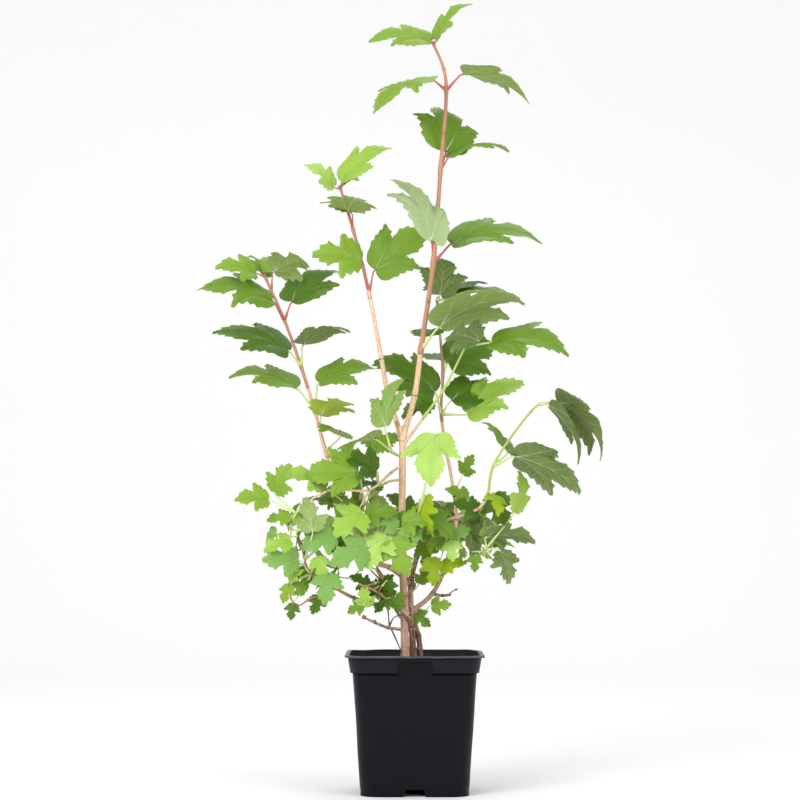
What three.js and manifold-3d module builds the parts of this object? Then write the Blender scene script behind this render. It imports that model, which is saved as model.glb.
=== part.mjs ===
// A young guelder rose in full leaf, standing in a square nursery pot.
// Millimetres and degrees, +Z up, the origin at the centre of the pot's underside, the front towards -Y.
import * as THREE from "three";
import { mergeVertices } from "three/addons/utils/BufferGeometryUtils.js";
import Module from "manifold-3d";

const wasm = await Module();
wasm.setup();

const CLEARANCE = 0.3; // between solids that touch in the real plant

// ---------------------------------------------------------------- sizes of the pot
const POT = {
  height: 166.5,
  wall: 1.5,
  floor: 2,
  corner: 22, // radius of the upright edges, seen from above
  cornerSteps: 3,
  baseHalf: 65.2, // half widths, from the base up to the lip
  footHalf: 64.6,
  shoulderHalf: 73.7,
  collarLowHalf: 76.6,
  collarHighHalf: 79.4,
  lipHalf: 83,
  footHeight: 9,
  footStep: 0.6,
  collarBottom: 145.5,
  collarStep: 1,
  lipBottom: 163.7,
  lipStep: 0.4,
};
// Drain channels under the pot, one in from the foot of each side.
const CHANNEL = { height: 8.5, lowWidth: 27, highWidth: 21, depth: 46 };
// Flat panels pressed into the collar, front and back.
const PANEL = { bottom: 144, top: 160, lowWidth: 45, highWidth: 37, press: 0.6 };
const SOIL = { top: 150, crown: 3, corner: 30, crownShare: 0.55 }; // it stands a little higher in the middle
const GROUND = SOIL.top + SOIL.crown + CLEARANCE; // where the stems are cut flat

// ---------------------------------------------------------------- sizes of the limbs
// Each limb runs through its nodes, the joints where leaves and side shoots spring, from its foot to its tip.
// girth is the radius at the foot and at the tip, and ends says where the bare limb stops: past that
// node its leafy masses carry it on. flare widens a foot that stands in the soil.
const LIMBS = {
  main_stem: {
    nodes: [[-11, 0, GROUND], [-13, 0, 233], [-15, 0, 318], [-15, 0, 428], [-17, 0, 441]],
    girth: [4.8, 3.9], flare: 0.35, sides: 10,
  },
  second_stem: {
    nodes: [[-1, 11, GROUND], [-3, 10, 195], [-4, 10, 253], [3, 12, 283], [7, 14, 303]],
    girth: [4.2, 2.4], flare: 0.4, sides: 8,
  },
  third_stem: {
    nodes: [[7.5, 20, GROUND], [5, 18, 185], [-3, 10, 210]],
    girth: [3.6, 3], flare: 0.4, sides: 8,
  },
  right_bough: {
    nodes: [[-15, 0, 424], [0, -8, 477], [8, -14, 534], [23, -20, 639], [32, -22, 754], [39, -22, 851],
      [36, -22, 877], [24, -22, 907]],
    girth: [3.8, 1.5], ends: 1.9, sides: 8,
  },
  left_bough: {
    nodes: [[-15, 0, 424], [-33, 10, 485], [-40, 16, 523], [-56, 30, 608], [-76, 46, 689], [-92, 56, 742]],
    girth: [3.4, 1.6], ends: 2.9, sides: 8,
  },
  far_left_bough: {
    nodes: [[-4, 10, 250], [-30, 16, 269], [-46, 19, 275], [-79, 21, 321], [-109, 26, 411], [-123, 30, 462],
      [-140, 36, 517], [-161, 42, 575], [-178, 48, 613], [-187, 50, 631]],
    girth: [3.4, 1.3], ends: 3.9, sides: 8,
  },
  back_bough: {
    nodes: [[-3, 11, 216], [22, 20, 237], [42, 36, 280], [52, 45, 327], [50, 50, 356], [34, 60, 459],
      [36, 66, 509], [29, 74, 603]],
    girth: [3, 1.5], ends: 4.9, sides: 8,
  },
  arching_bough: {
    nodes: [[-15, -2, 306], [28, -20, 323], [76, -40, 340], [86, -45, 352], [94, -55, 391], [139, -75, 456],
      [147, -78, 463]],
    girth: [2, 1.2], ends: 2.8, sides: 6,
  },
  fork_twig: {
    nodes: [[-14, 0, 417], [14, -10, 455], [35, -16, 484], [62, -24, 537]],
    girth: [2, 1.2], ends: 0.85, sides: 6,
  },
  arc_twig: {
    nodes: [[-14, 0, 394], [-28, -16, 384], [-54, -34, 363], [-103, -50, 361], [-141, -60, 334],
      [-149, -62, 302]],
    girth: [1.7, 1.1], ends: 3.7, sides: 6,
  },
  short_arc_twig: {
    nodes: [[-15, 0, 376], [-34, -10, 372], [-52, -18, 356], [-67, -22, 332]],
    girth: [1.7, 1.1], ends: 1.1, sides: 6,
  },
  crotch_twig: {
    nodes: [[-15, 0, 403], [-22, -8, 406], [-29, -13, 412]],
    girth: [1.5, 1.2], ends: 0, sides: 6,
  },
  old_branch: {
    nodes: [[-3, 9, 200], [-8, -9, 212], [-23, -12, 225], [-29, -6, 243], [-45, 12, 266]],
    girth: [3.8, 2.4], sides: 8,
  },
  low_left_twig: {
    nodes: [[-23, -12, 225], [-46, -24, 225], [-72, -34, 233], [-95, -42, 245], [-124, -48, 262],
      [-136, -50, 298]],
    girth: [2.8, 1.1], ends: 2.2, sides: 7,
  },
  bare_twig: {
    nodes: [[-13, 0, 194], [-32, -10, 197], [-47, -18, 203], [-62, -24, 210]],
    girth: [2, 1.3], sides: 6,
  },
  low_right_twig: {
    nodes: [[30, 26, 256], [46, 4, 268], [62, -10, 277], [78, -20, 284], [86, -28, 292]],
    girth: [1.6, 1.1], ends: 2.7, sides: 6,
  },
  cut_spur: {
    nodes: [[22, 20, 237], [34, 14, 235], [44, 8, 236]],
    girth: [1.8, 1.6], sides: 6,
  },
  front_twig: {
    nodes: [[-14, 0, 282], [-12, -20, 296], [-6, -38, 318], [6, -50, 338]],
    girth: [1.6, 1.1], ends: 0, sides: 6,
  },
  foot_twig: {
    nodes: [[-23, -12, 225], [-34, -30, 232], [-48, -44, 242], [-66, -50, 250]],
    girth: [1.6, 1.1], ends: 0, sides: 6,
  },
  spur_twig: {
    nodes: [[5, 13, 292], [20, 2, 296], [38, -8, 300], [54, -14, 296]],
    girth: [1.5, 1.1], ends: 0, sides: 6,
  },
  back_left_twig: {
    nodes: [[-3, 11, 190], [-22, 44, 216], [-44, 74, 262], [-58, 92, 320]],
    girth: [2.2, 1.2], ends: 1.4, sides: 6,
  },
  back_right_twig: {
    nodes: [[42, 36, 280], [46, 58, 292], [52, 82, 305], [56, 104, 325]],
    girth: [2.2, 1.2], ends: 1.4, sides: 6,
  },
};

// ---------------------------------------------------------------- the leafy masses
// Each mass carries its limb on from one node number to the next. A leaf stands at a node number, on a
// petiole with its own heading, rise and length; its blade has a heading, a pitch (down is negative), a
// roll round its midrib and a length. Heading 0 is +X, 90 is +Y, the back.
// [node, petiole heading, rise, length, blade heading, pitch, roll, length]
// Leaves under front are laid by their looks from the front instead, each on a petiole from its node to
// its blade's base: way is the blade's angle, 0 towards +X and 90 up, lean how far it leans forwards, and
// turn how far it is turned round its midrib from facing the front.
// [node, x, y and z of the blade's base, way, lean, turn, length]
const MASSES = {
  right_shoot_low: {
    limb: "right_bough", from: 1.9, to: 2.55,
    leaves: [[2, 330, 45, 39, 330, 15, -12, 115], [2, 75, 35, 30, 75, 15, 0, 45]],
  },
  right_shoot_middle: {
    limb: "right_bough", from: 2.55, to: 4.4,
    leaves: [[3, 235, 80, 27, 235, 42, -28, 104], [3, 10, 45, 35, 10, 5, 25, 111],
      [4, 60, 60, 26, 90, 50, 20, 88], [4, 20, 50, 22, 20, 12, 10, 76]],
  },
  right_shoot_top: {
    limb: "right_bough", from: 4.4, to: 7,
    leaves: [[5, 200, 28, 24, 205, -32, -10, 88], [5, 345, 40, 28, 345, -25, -5, 91],
      [7, 180, 40, 6, 172, 4, -32, 76], [7, 350, 60, 8, 345, 48, 38, 60]],
  },
  left_shoot_low: {
    limb: "left_bough", from: 2.9, to: 3.5,
    front: [[3, -48, 28, 637, 36, 0, -20, 80], [3, -66, 24, 648, 176, 5, 25, 60]],
  },
  left_shoot_top: {
    limb: "left_bough", from: 3.5, to: 5,
    leaves: [[4, 215, 70, 24, 285, 8, -8, 58], [4, 145, 80, 22, 150, 20, -10, 46],
      [5, 355, 75, 10, 355, 35, 40, 74], [5, 195, 10, 10, 195, 40, -50, 45],
      [5, 310, 30, 10, 310, 5, 30, 26]],
  },
  far_left_shoot_low: {
    limb: "far_left_bough", from: 3.9, to: 5.5,
    leaves: [[4, 325, 40, 30, 245, 5, -20, 50], [4.5, 305, 75, 20, 305, 10, -10, 60],
      [5, 175, 50, 36, 175, 10, -20, 86], [5, 5, 80, 36, 10, 15, 30, 72]],
  },
  far_left_shoot_middle: {
    limb: "far_left_bough", from: 5.5, to: 6.5,
    leaves: [[6, 180, 50, 26, 180, 15, -30, 95], [6, 300, 75, 27, 325, 15, 0, 70]],
  },
  far_left_shoot_top: {
    limb: "far_left_bough", from: 6.5, to: 9,
    leaves: [[7, 195, 55, 29, 190, 10, -30, 92], [7, 35, 65, 26, 35, 38, 20, 80],
      [8, 330, 80, 24, 325, 12, -35, 54], [8, 125, 55, 26, 125, 40, 20, 42],
      [9, 205, 15, 12, 200, 8, -50, 52], [9, 80, 40, 10, 80, 40, 0, 34]],
  },
  back_shoot_low: {
    limb: "back_bough", from: 4.9, to: 5.5,
    leaves: [[5, 350, 0, 34, 0, 30, 40, 80], [5, 25, 50, 23, 25, 15, 35, 70]],
    front: [[5, 25, 56, 487, 152, 0, 45, 84]],
  },
  back_shoot_middle: {
    limb: "back_bough", from: 5.5, to: 6.4,
    leaves: [[6, 30, 60, 17, 30, 20, 60, 72], [6, 80, 50, 24, 80, 0, 0, 80]],
  },
  back_shoot_top: {
    limb: "back_bough", from: 6.4, to: 7,
    leaves: [[7, 300, 45, 11, 275, 42, -15, 62], [7, 15, 10, 14, 12, 0, 10, 100],
      [7, 60, 40, 16, 65, 5, 0, 84]],
  },
  arching_shoot: {
    limb: "arching_bough", from: 2.8, to: 6,
    leaves: [[3, 320, 20, 12, 280, -45, -20, 32], [4, 340, 20, 30, 340, -30, -40, 92],
      [4, 60, 25, 40, 110, 30, 40, 62], [6, 345, 5, 22, 320, -42, -40, 98],
      [6, 325, -10, 16, 335, -60, -30, 78]],
    front: [[3, 97, -22, 358, -70, 0, 25, 42]],
  },
  fork_sprig: {
    limb: "fork_twig", from: 0.85, to: 3,
    leaves: [[3, 340, 5, 34, 345, -5, 30, 94], [3, 320, 15, 20, 225, 5, 40, 54]],
    front: [[1, 23, 14, 470, -155, 0, 40, 42]],
  },
};

// ---------------------------------------------------------------- seeded sprigs of small leaves
// A sprig carries its limb on from one node number to the next, and side twigs branch from it in opposite
// pairs, each pair a quarter turn from the last. Every side twig ends in three leaves. The twigs keep to
// an ellipsoid, their space, given by its centre and its half sizes.
const SPRIGS = {
  crotch_sprig: {
    limb: "crotch_twig", from: 0, to: 2,
    leaves: [[2, 215, 75, 30, 300, 55, 20, 68], [1, 235, 20, 50, 235, -20, 20, 66],
      [1, 110, 10, 50, 110, 25, -10, 46]],
    front: [[2, -47, 6, 461, -160, 0, 50, 40]],
  },
  short_arc_sprig: {
    limb: "short_arc_twig", from: 1.1, to: 3, seed: 25, joints: 1, blade: [34, 46], twig: [8, 20],
    space: [[-76, -8, 340], [52, 36, 50]],
    front: [[3, -107, -32, 365, 160, 10, 55, 54], [2.5, -69, -36, 382, 180, 10, 25, 62],
      [3, -99, -34, 346, 175, 0, 75, 35],
      [1.5, -46, -24, 386, 155, 10, 35, 46], [1.5, -39, -16, 364, 170, 0, 65, 31],
      [1.5, -50, 8, 415, 25, 0, -50, 38], [3, -73, -24, 341, 145, 0, 30, 23],
      [3, -63, -44, 335, -140, 20, 20, 46], [3, -58, -40, 331, 10, 10, -30, 38],
      [3, -58, -58, 295, -155, 15, 10, 49], [3, -76, -30, 307, -145, 0, 25, 32]],
  },
  arc_sprig: {
    limb: "arc_twig", from: 3.7, to: 5, seed: 2, joints: 1, blade: [32, 42], twig: [6, 16],
    space: [[-150, -40, 310], [40, 40, 40]],
    front: [[4, -166, -64, 359, 60, 10, -25, 38], [4, -174, -66, 350, 180, 10, 40, 40],
      [4, -148, -62, 329, -170, 0, 45, 28], [4, -147, -58, 331, -25, 0, -20, 19],
      [5, -147, -64, 301, -160, 10, 40, 34]],
  },
  low_left_sprig: {
    limb: "low_left_twig", from: 2.2, to: 5, seed: 41, joints: 2, blade: [32, 44], twig: [8, 20],
    space: [[-118, -20, 276], [44, 44, 46]],
    front: [[4.5, -121, -70, 313, 100, -10, 180, 41], [4, -139, -58, 279, 180, 15, 15, 43],
      [4, -149, -58, 254, 35, 0, -50, 22], [4, -148, -60, 249, -110, 0, 30, 23],
      [4, -130, -56, 241, 145, 0, 20, 23], [3.5, -122, -50, 255, -155, 0, 70, 21],
      [4, -143, -60, 227, -100, 0, 20, 20], [4.5, -96, -56, 310, -155, 10, 15, 43],
      [4, -115, -60, 282, -75, 10, 0, 27], [3.5, -101, -62, 263, -100, 15, 0, 39],
      [3.5, -114, -50, 236, -110, 0, -20, 23]],
  },
  front_sprig: {
    limb: "front_twig", from: 0, to: 3, seed: 37, joints: 1, blade: [34, 46], twig: [8, 20],
    space: [[-8, -20, 306], [60, 44, 40]],
    leaves: [[3, 325, 75, 92, 250, -62, 0, 66]],
    front: [[2, -14, -46, 322, 5, 10, -30, 36], [3, 14, -54, 355, -82, 0, 62, 50],
      [1, -32, -50, 306, -125, 15, 30, 46], [1, -28, -58, 302, -65, 15, 0, 48],
      [2.5, -21, -46, 316, 155, 0, 30, 27],
      [2, 6, -50, 313, -165, 10, 30, 30], [1, -3, -28, 299, 175, 0, 50, 25]],
  },
  foot_sprig: {
    limb: "foot_twig", from: 0, to: 3, seed: 36, joints: 1, blade: [24, 34], twig: [6, 14],
    space: [[-48, -24, 244], [30, 36, 26]],
    front: [[2.5, -58, -50, 223, 100, 0, 10, 24], [2.5, -62, -52, 225, -155, 0, 20, 20],
      [2.5, -56, -30, 245, 140, 0, 40, 26],
      [1.5, -42, -22, 242, 45, 0, -40, 25], [1.5, -42, -26, 238, -165, 0, 60, 24],
      [1, -30, -30, 233, -135, 0, 30, 25], [1, -25, -20, 221, 65, 0, 20, 23]],
  },
  spur_sprig: {
    limb: "spur_twig", from: 0, to: 3, seed: 46, joints: 1, blade: [30, 42], twig: [8, 16],
    space: [[34, 4, 300], [36, 40, 34]],
    front: [[0.5, -4, 22, 333, 140, 0, 40, 39], [1, 12, -6, 299, -80, 0, 20, 33],
      [1.5, 20, -14, 281, -85, 0, -20, 34], [1.5, 17, -8, 305, -30, 10, -20, 27],
      [2.5, 44, -28, 301, -85, 10, 10, 25], [2, 40, -22, 304, 20, 0, -20, 30],
      [2, 31, -12, 268, 10, 0, -50, 33], [2, 31, 4, 312, 50, 0, -10, 22]],
  },
  low_right_sprig: {
    limb: "low_right_twig", from: 2.7, to: 4, seed: 9, joints: 1, blade: [30, 40], twig: [8, 16],
    space: [[90, -10, 290], [40, 40, 34]],
    front: [[4, 87, -36, 306, -5, -5, 235, 58], [4, 103, -36, 289, -75, 0, 225, 40],
      [3, 73, -24, 284, -95, 0, 0, 20], [4, 119, -54, 336, 80, 0, 62, 49]],
  },
  back_left_sprig: {
    limb: "back_left_twig", from: 1.4, to: 3, seed: 35, joints: 3, blade: [42, 58], twig: [10, 28],
    space: [[-56, 92, 322], [72, 74, 62]],
  },
  back_right_sprig: {
    limb: "back_right_twig", from: 1.4, to: 3, seed: 8, joints: 3, blade: [42, 58], twig: [10, 28],
    space: [[48, 98, 318], [68, 72, 62]],
  },
};

// ---------------------------------------------------------------- the leaf
// Half of a blade's outline, from beside the stalk round to the tip, as shares of its length: across, then
// along. A small blade has fewer points.
const HALF_OUTLINE = [[0.3, -0.02], [0.4, 0.26], [0.52, 0.6], [0.2, 0.54], [0.27, 0.76]];
const HALF_OUTLINE_SMALL = [[0.36, 0.08], [0.5, 0.58], [0.2, 0.6]];
const BLADE = {
  arch: 0.1, // how far the midrib rises over its chord
  fold: 0.16, // how steeply the halves rise from the midrib
  cup: 0.42, // how far the side lobes hang again
  thickness: 0.011,
  thinnest: 0.7,
  small: 62, // a blade shorter than this has the simple outline
  midrib: [0.34, 0.68], // where the midrib has points of its own
};
// A stalk thickens with its leaf's length and towards its foot. It has a knee just under the blade, unless it
// runs nearly straight on, which the cosine of its bend tells.
const STALK = { radius: 0.45, perLength: 0.006, footShare: 1.3, knee: 2.5, straight: 0.75 };
const TWIG = { radii: [1.3, 0.9], sides: 3 };
const FACING = { out: 1, up: 0.6 }; // where the small leaves turn their upper faces
const RINGS_PER_NODE = 2;
const FLARE_FADE = 6; // how fast a foot's flare fades from one node to the next
const STEM_SIDES = 5; // of the stem inside a mass

// ---------------------------------------------------------------- materials
const material = (color, roughness) => new THREE.MeshStandardMaterial({ color, roughness, metalness: 0 });
const BLACK_PLASTIC = material(0x1c1d20, 0.45);
const PEAT = material(0x3a2a1e, 0.95);
const BARK = material(0xb98a68, 0.7);
const LEAF = material(0x5c9440, 0.55);

// ---------------------------------------------------------------- solids
const vector = (point) => new THREE.Vector3(...point);
const direction = (heading, rise) => {
  const [h, r] = [heading, rise].map(THREE.MathUtils.degToRad);
  return new THREE.Vector3(Math.cos(r) * Math.cos(h), Math.cos(r) * Math.sin(h), Math.sin(r));
};

function geometryOf(points, faces) {
  const geometry = new THREE.BufferGeometry();
  geometry.setAttribute("position", new THREE.Float32BufferAttribute(points.flatMap((p) => p.toArray()), 3));
  geometry.setIndex(faces.flat());
  return geometry;
}

function solidOf(geometry) {
  geometry.deleteAttribute("normal");
  geometry.deleteAttribute("uv");
  const merged = mergeVertices(geometry);
  const vertProperties = Float32Array.from(merged.attributes.position.array);
  const triVerts = Uint32Array.from(merged.index.array);
  return new wasm.Manifold(new wasm.Mesh({ numProp: 3, vertProperties, triVerts }));
}

function meshOf(name, solid, surface) {
  const { vertProperties, triVerts } = solid.getMesh();
  const geometry = new THREE.BufferGeometry();
  geometry.setAttribute("position", new THREE.BufferAttribute(vertProperties, 3));
  geometry.setIndex(new THREE.BufferAttribute(triVerts, 1));
  geometry.computeVertexNormals();
  const mesh = new THREE.Mesh(geometry, surface);
  mesh.name = name;
  return mesh;
}

// The largest closed body of a solid: loose scraps go, and so do the walls of a hollow that a join sealed.
const oneBody = (solid) => solid.decompose().reduce((a, b) => (a.volume() > b.volume() ? a : b));

// A closed loft through rings with the same number of points, which go round anticlockwise.
function loft(rings) {
  const count = rings[0].length;
  const faces = [];
  for (let ring = 1; ring < rings.length; ring++) {
    for (let i = 0; i < count; i++) {
      const [a, b] = [(ring - 1) * count + i, (ring - 1) * count + ((i + 1) % count)];
      faces.push([a, b, b + count], [a, b + count, a + count]);
    }
  }
  const top = (rings.length - 1) * count;
  for (let i = 2; i < count; i++) faces.push([0, i, i - 1], [top, top + i - 1, top + i]);
  return geometryOf(rings.flat(), faces);
}

// A round tube through its centres, closed at both ends. Each ring faces its own way along the tube.
function tube(centres, radii, ways, sides) {
  const whole = centres.at(-1).clone().sub(centres[0]).normalize();
  const across = Math.abs(whole.y) < 0.75 ? new THREE.Vector3(0, 1, 0) : new THREE.Vector3(1, 0, 0);
  const rings = centres.map((centre, i) => {
    const u = new THREE.Vector3().crossVectors(across, ways[i]).normalize();
    const v = new THREE.Vector3().crossVectors(ways[i], u);
    return Array.from({ length: sides }, (_, k) => {
      const angle = (2 * Math.PI * k) / sides;
      const [x, y] = [radii[i] * Math.cos(angle), radii[i] * Math.sin(angle)];
      return centre.clone().addScaledVector(u, x).addScaledVector(v, y);
    });
  });
  return solidOf(loft(rings));
}

// ---------------------------------------------------------------- the pot and its soil
function squareRing(half, z, corner = POT.corner) {
  const points = [];
  for (let quarter = 0; quarter < 4; quarter++) {
    for (let step = 0; step <= POT.cornerSteps; step++) {
      const angle = (Math.PI / 2) * (quarter + step / POT.cornerSteps);
      const centre = (Math.PI / 2) * quarter + Math.PI / 4;
      const inner = (half - corner) * Math.SQRT2;
      points.push(new THREE.Vector3(
        inner * Math.cos(centre) + corner * Math.cos(angle),
        inner * Math.sin(centre) + corner * Math.sin(angle),
        z,
      ));
    }
  }
  return points;
}

// A bar of trapezoid section that lies across one side of the pot, reaching in from far outside it.
function sideBar(quarter, [low, high], [lowWidth, highWidth], reachIn, grow = 0) {
  const section = new THREE.Shape([
    new THREE.Vector2(-lowWidth / 2 - grow, low),
    new THREE.Vector2(lowWidth / 2 + grow, low),
    new THREE.Vector2(highWidth / 2 + grow, high + grow),
    new THREE.Vector2(-highWidth / 2 - grow, high + grow),
  ]);
  const outside = POT.lipHalf + 10;
  const depth = outside - reachIn + grow;
  const geometry = new THREE.ExtrudeGeometry(section, { depth, bevelEnabled: false });
  geometry.rotateX(Math.PI / 2);
  geometry.translate(0, outside, 0);
  geometry.rotateZ((Math.PI / 2) * quarter);
  return solidOf(geometry);
}

function wallHalfAt(z) {
  return THREE.MathUtils.mapLinear(z, POT.footHeight, POT.collarBottom, POT.baseHalf, POT.shoulderHalf);
}

// The pot's skin from its bottom to its top. An inner skin is inset, and its collar widens higher up.
function potSkin({ inset, lipHalf, rise, bottom, top }) {
  return solidOf(loft([
    squareRing(POT.footHalf - inset, bottom),
    squareRing(POT.footHalf - inset, POT.footHeight),
    squareRing(POT.baseHalf - inset, POT.footHeight + POT.footStep),
    squareRing(POT.shoulderHalf - inset, POT.collarBottom - POT.collarStep + rise),
    squareRing(POT.collarLowHalf - inset, POT.collarBottom + rise),
    squareRing(POT.collarHighHalf - inset, POT.lipBottom),
    squareRing(lipHalf - inset, POT.lipBottom + POT.lipStep),
    squareRing(lipHalf - inset, top),
  ]));
}

const quarters = [0, 1, 2, 3];
const channels = (grow) => quarters
  .map((q) => sideBar(q, [-1, CHANNEL.height], [CHANNEL.lowWidth, CHANNEL.highWidth],
    POT.baseHalf - CHANNEL.depth, grow))
  .reduce((a, b) => a.add(b));
const panels = (grow) => [0, 2]
  .map((q) => sideBar(q, [PANEL.bottom, PANEL.top], [PANEL.lowWidth, PANEL.highWidth],
    wallHalfAt(PANEL.top) - PANEL.press, grow))
  .reduce((a, b) => a.add(b));

// The space inside the pot, kept a gap clear of its walls.
function hollow(gap) {
  const inset = POT.wall + gap;
  const bottom = POT.floor + gap;
  return potSkin({ inset, lipHalf: POT.collarHighHalf, rise: POT.wall, bottom, top: POT.height + 1 })
    .subtract(channels(inset))
    .subtract(panels(inset));
}

function pot() {
  return potSkin({ inset: 0, lipHalf: POT.lipHalf, rise: 0, bottom: 0, top: POT.height })
    .subtract(channels(0))
    .subtract(panels(0))
    .subtract(hollow(0));
}

function soil() {
  const half = POT.collarHighHalf;
  const heap = loft([
    squareRing(half, 0, SOIL.corner),
    squareRing(half, SOIL.top, SOIL.corner),
    squareRing(half * SOIL.crownShare, SOIL.top + SOIL.crown, SOIL.corner),
  ]);
  return hollow(CLEARANCE).intersect(solidOf(heap));
}

// ---------------------------------------------------------------- limbs
const curveOf = (limb) => new THREE.CatmullRomCurve3(limb.nodes.map(vector));
const nodeAt = (limb, node) => curveOf(limb).getPoint(node / (limb.nodes.length - 1));
const wayAt = (limb, node) => curveOf(limb).getTangent(node / (limb.nodes.length - 1));

const bareTo = (limb) => limb.ends ?? limb.nodes.length - 1;

function girthAt(limb, node) {
  const [foot, tip] = limb.girth;
  const radius = THREE.MathUtils.lerp(foot, tip, node / (limb.nodes.length - 1));
  return radius * (1 + (limb.flare ?? 0) * Math.exp(-FLARE_FADE * node));
}

function limbSection(limb, from, to, grow = 0, sides = limb.sides) {
  const steps = Math.max(2, Math.ceil((to - from) * RINGS_PER_NODE));
  const places = Array.from({ length: steps + 1 }, (_, i) => from + ((to - from) * i) / steps);
  const ways = places.map((node) => wayAt(limb, node));
  if (limb.flare !== undefined && from === 0) ways[0] = direction(0, 90);
  return tube(
    places.map((node) => nodeAt(limb, node)),
    places.map((node) => girthAt(limb, node) + grow),
    ways,
    sides,
  );
}

// The node number a clearance further along the limb.
function pastJoin(limb, node) {
  const step = 0.01;
  return node + (step * CLEARANCE) / nodeAt(limb, node).distanceTo(nodeAt(limb, node + step));
}

// ---------------------------------------------------------------- leaves
function bladeSurface(length, across, along) {
  const side = Math.abs(across);
  const height = 4 * BLADE.arch * along * (1 - along) + BLADE.fold * side - BLADE.cup * side * side;
  return new THREE.Vector3(across, along, height).multiplyScalar(length);
}

const stalkRadius = (length) => STALK.radius + STALK.perLength * length;

// The blade laid flat in its own frame: its points, its upper faces and its rim from the stalk's right
// round the tip to the stalk's left.
function bladeLayout(length) {
  const small = length < BLADE.small;
  const stalkSide = [stalkRadius(length) / length, 0];
  const half = [stalkSide, ...(small ? HALF_OUTLINE_SMALL : HALF_OUTLINE)];
  const spine = [[0, 1], ...(small ? [] : BLADE.midrib.map((along) => [0, along]))];
  const contour = [...half, ...spine].map(([x, y]) => new THREE.Vector2(x, y));
  const right = THREE.ShapeUtils.triangulateShape(contour, []);
  const mirror = (i) => (i < half.length ? contour.length + i : i);
  const left = right.map((face) => face.map(mirror).reverse());
  const middle = [mirror(0), 0, contour.length - 1];
  const up = half.map((_, i) => i);
  return {
    flat: [...contour, ...half.map(([x, y]) => new THREE.Vector2(-x, y))],
    faces: [...right, ...left, middle],
    rim: [...up, half.length, ...up.reverse().map(mirror)],
  };
}

// Where a leaf's blade lies: its base, its midrib's way, its side's way and the whole placing.
function leafFrame(foot, [, heading, rise, stalk, aim, pitch, roll]) {
  const base = foot.clone().addScaledVector(direction(heading, rise), stalk);
  const forward = direction(aim, pitch);
  const up = direction(aim, pitch + 90).applyAxisAngle(forward, THREE.MathUtils.degToRad(roll));
  const side = new THREE.Vector3().crossVectors(forward, up);
  return { base, forward, side, place: new THREE.Matrix4().makeBasis(side, forward, up).setPosition(base) };
}

// A blade's two skins and the wall round its rim, with a mouth left open for the stalk.
function bladeShell(place, length, extra) {
  const { flat, faces: upper, rim } = bladeLayout(length);
  const thickness = Math.max(BLADE.thinnest, BLADE.thickness * length) + extra;
  const skin = (way) => flat.map(({ x, y }) => {
    const height = y === 0 ? stalkRadius(length) + extra / 2 : thickness / 2;
    return bladeSurface(length, x, y).add(new THREE.Vector3(0, 0, way * height)).applyMatrix4(place);
  });
  const below = flat.length;
  const faces = [...upper, ...upper.map(([a, b, c]) => [a + below, c + below, b + below])];
  for (let i = 1; i < rim.length; i++) {
    const [a, b] = [rim[i - 1], rim[i]];
    faces.push([a, a + below, b + below], [a, b + below, b]);
  }
  const [right, left] = [rim[0], rim.at(-1)];
  return { points: [...skin(1), ...skin(-1)], faces, mouth: [left, left + below, right + below, right] };
}

// Carries a shell's mouth on to a square ring round a centre.
function carryOn(shell, side, centre, way, size) {
  const u = side.clone().addScaledVector(way, -side.dot(way)).normalize().multiplyScalar(size);
  const w = new THREE.Vector3().crossVectors(u, way);
  const ring = [[-1, 1], [-1, -1], [1, -1], [1, 1]].map(([x, z]) => {
    return shell.points.push(centre.clone().addScaledVector(u, x).addScaledVector(w, z)) - 1;
  });
  shell.mouth.forEach((corner, i) => {
    const after = (i + 1) % ring.length;
    shell.faces.push([corner, shell.mouth[after], ring[after]], [corner, ring[after], ring[i]]);
  });
  shell.mouth = ring;
}

// One leaf as a closed solid: its blade and, unless it is bare, its stalk down to a foot inside the stem.
function leafSolid(foot, row, { extra = 0, bare = false } = {}) {
  const length = row.at(-1);
  const { base, forward, side, place } = leafFrame(foot, row);
  const shell = bladeShell(place, length, extra);
  if (!bare) {
    const radius = stalkRadius(length) + extra / 2;
    const knee = base.clone().addScaledVector(forward, -STALK.knee);
    const along = knee.clone().sub(foot).normalize();
    const turn = along.clone().add(forward).normalize();
    if (along.dot(forward) < STALK.straight) carryOn(shell, side, knee, turn, radius);
    carryOn(shell, side, foot, along, radius * STALK.footShare);
  }
  const [a, b, c, d] = shell.mouth;
  return solidOf(geometryOf(shell.points, [...shell.faces, [a, b, c], [a, c, d]]));
}

// A portable draw of numbers, the same in any language that has exact whole numbers.
class Draw {
  constructor(seed) {
    this.state = seed;
    for (let i = 0; i < 4; i++) this.next();
  }

  next() {
    this.state = (this.state * 16807) % 2147483647;
    return this.state / 2147483647;
  }

  between(low, high) {
    return low + (high - low) * this.next();
  }
}

const within = ([centre, half], point) => point.clone().sub(vector(centre)).divide(vector(half)).length() < 1;

// The roll that turns a blade's upper face nearest to a wished way.
function rollTo(wish, heading, pitch) {
  const up = direction(heading, pitch + 90);
  const side = new THREE.Vector3().crossVectors(direction(heading, pitch), up);
  return THREE.MathUtils.radToDeg(Math.atan2(wish.dot(side), wish.dot(up)));
}

// Where the small leaves' upper faces wish to turn: outwards, away from the middle of the plant, and upwards.
function outwards(place) {
  const out = new THREE.Vector3(place.x, place.y, 0).normalize().multiplyScalar(FACING.out);
  return out.add(new THREE.Vector3(0, 0, FACING.up));
}

// A way's heading and rise.
function anglesOf(way) {
  return [Math.atan2(way.y, way.x), Math.asin(way.z / way.length())].map(THREE.MathUtils.radToDeg);
}

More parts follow.
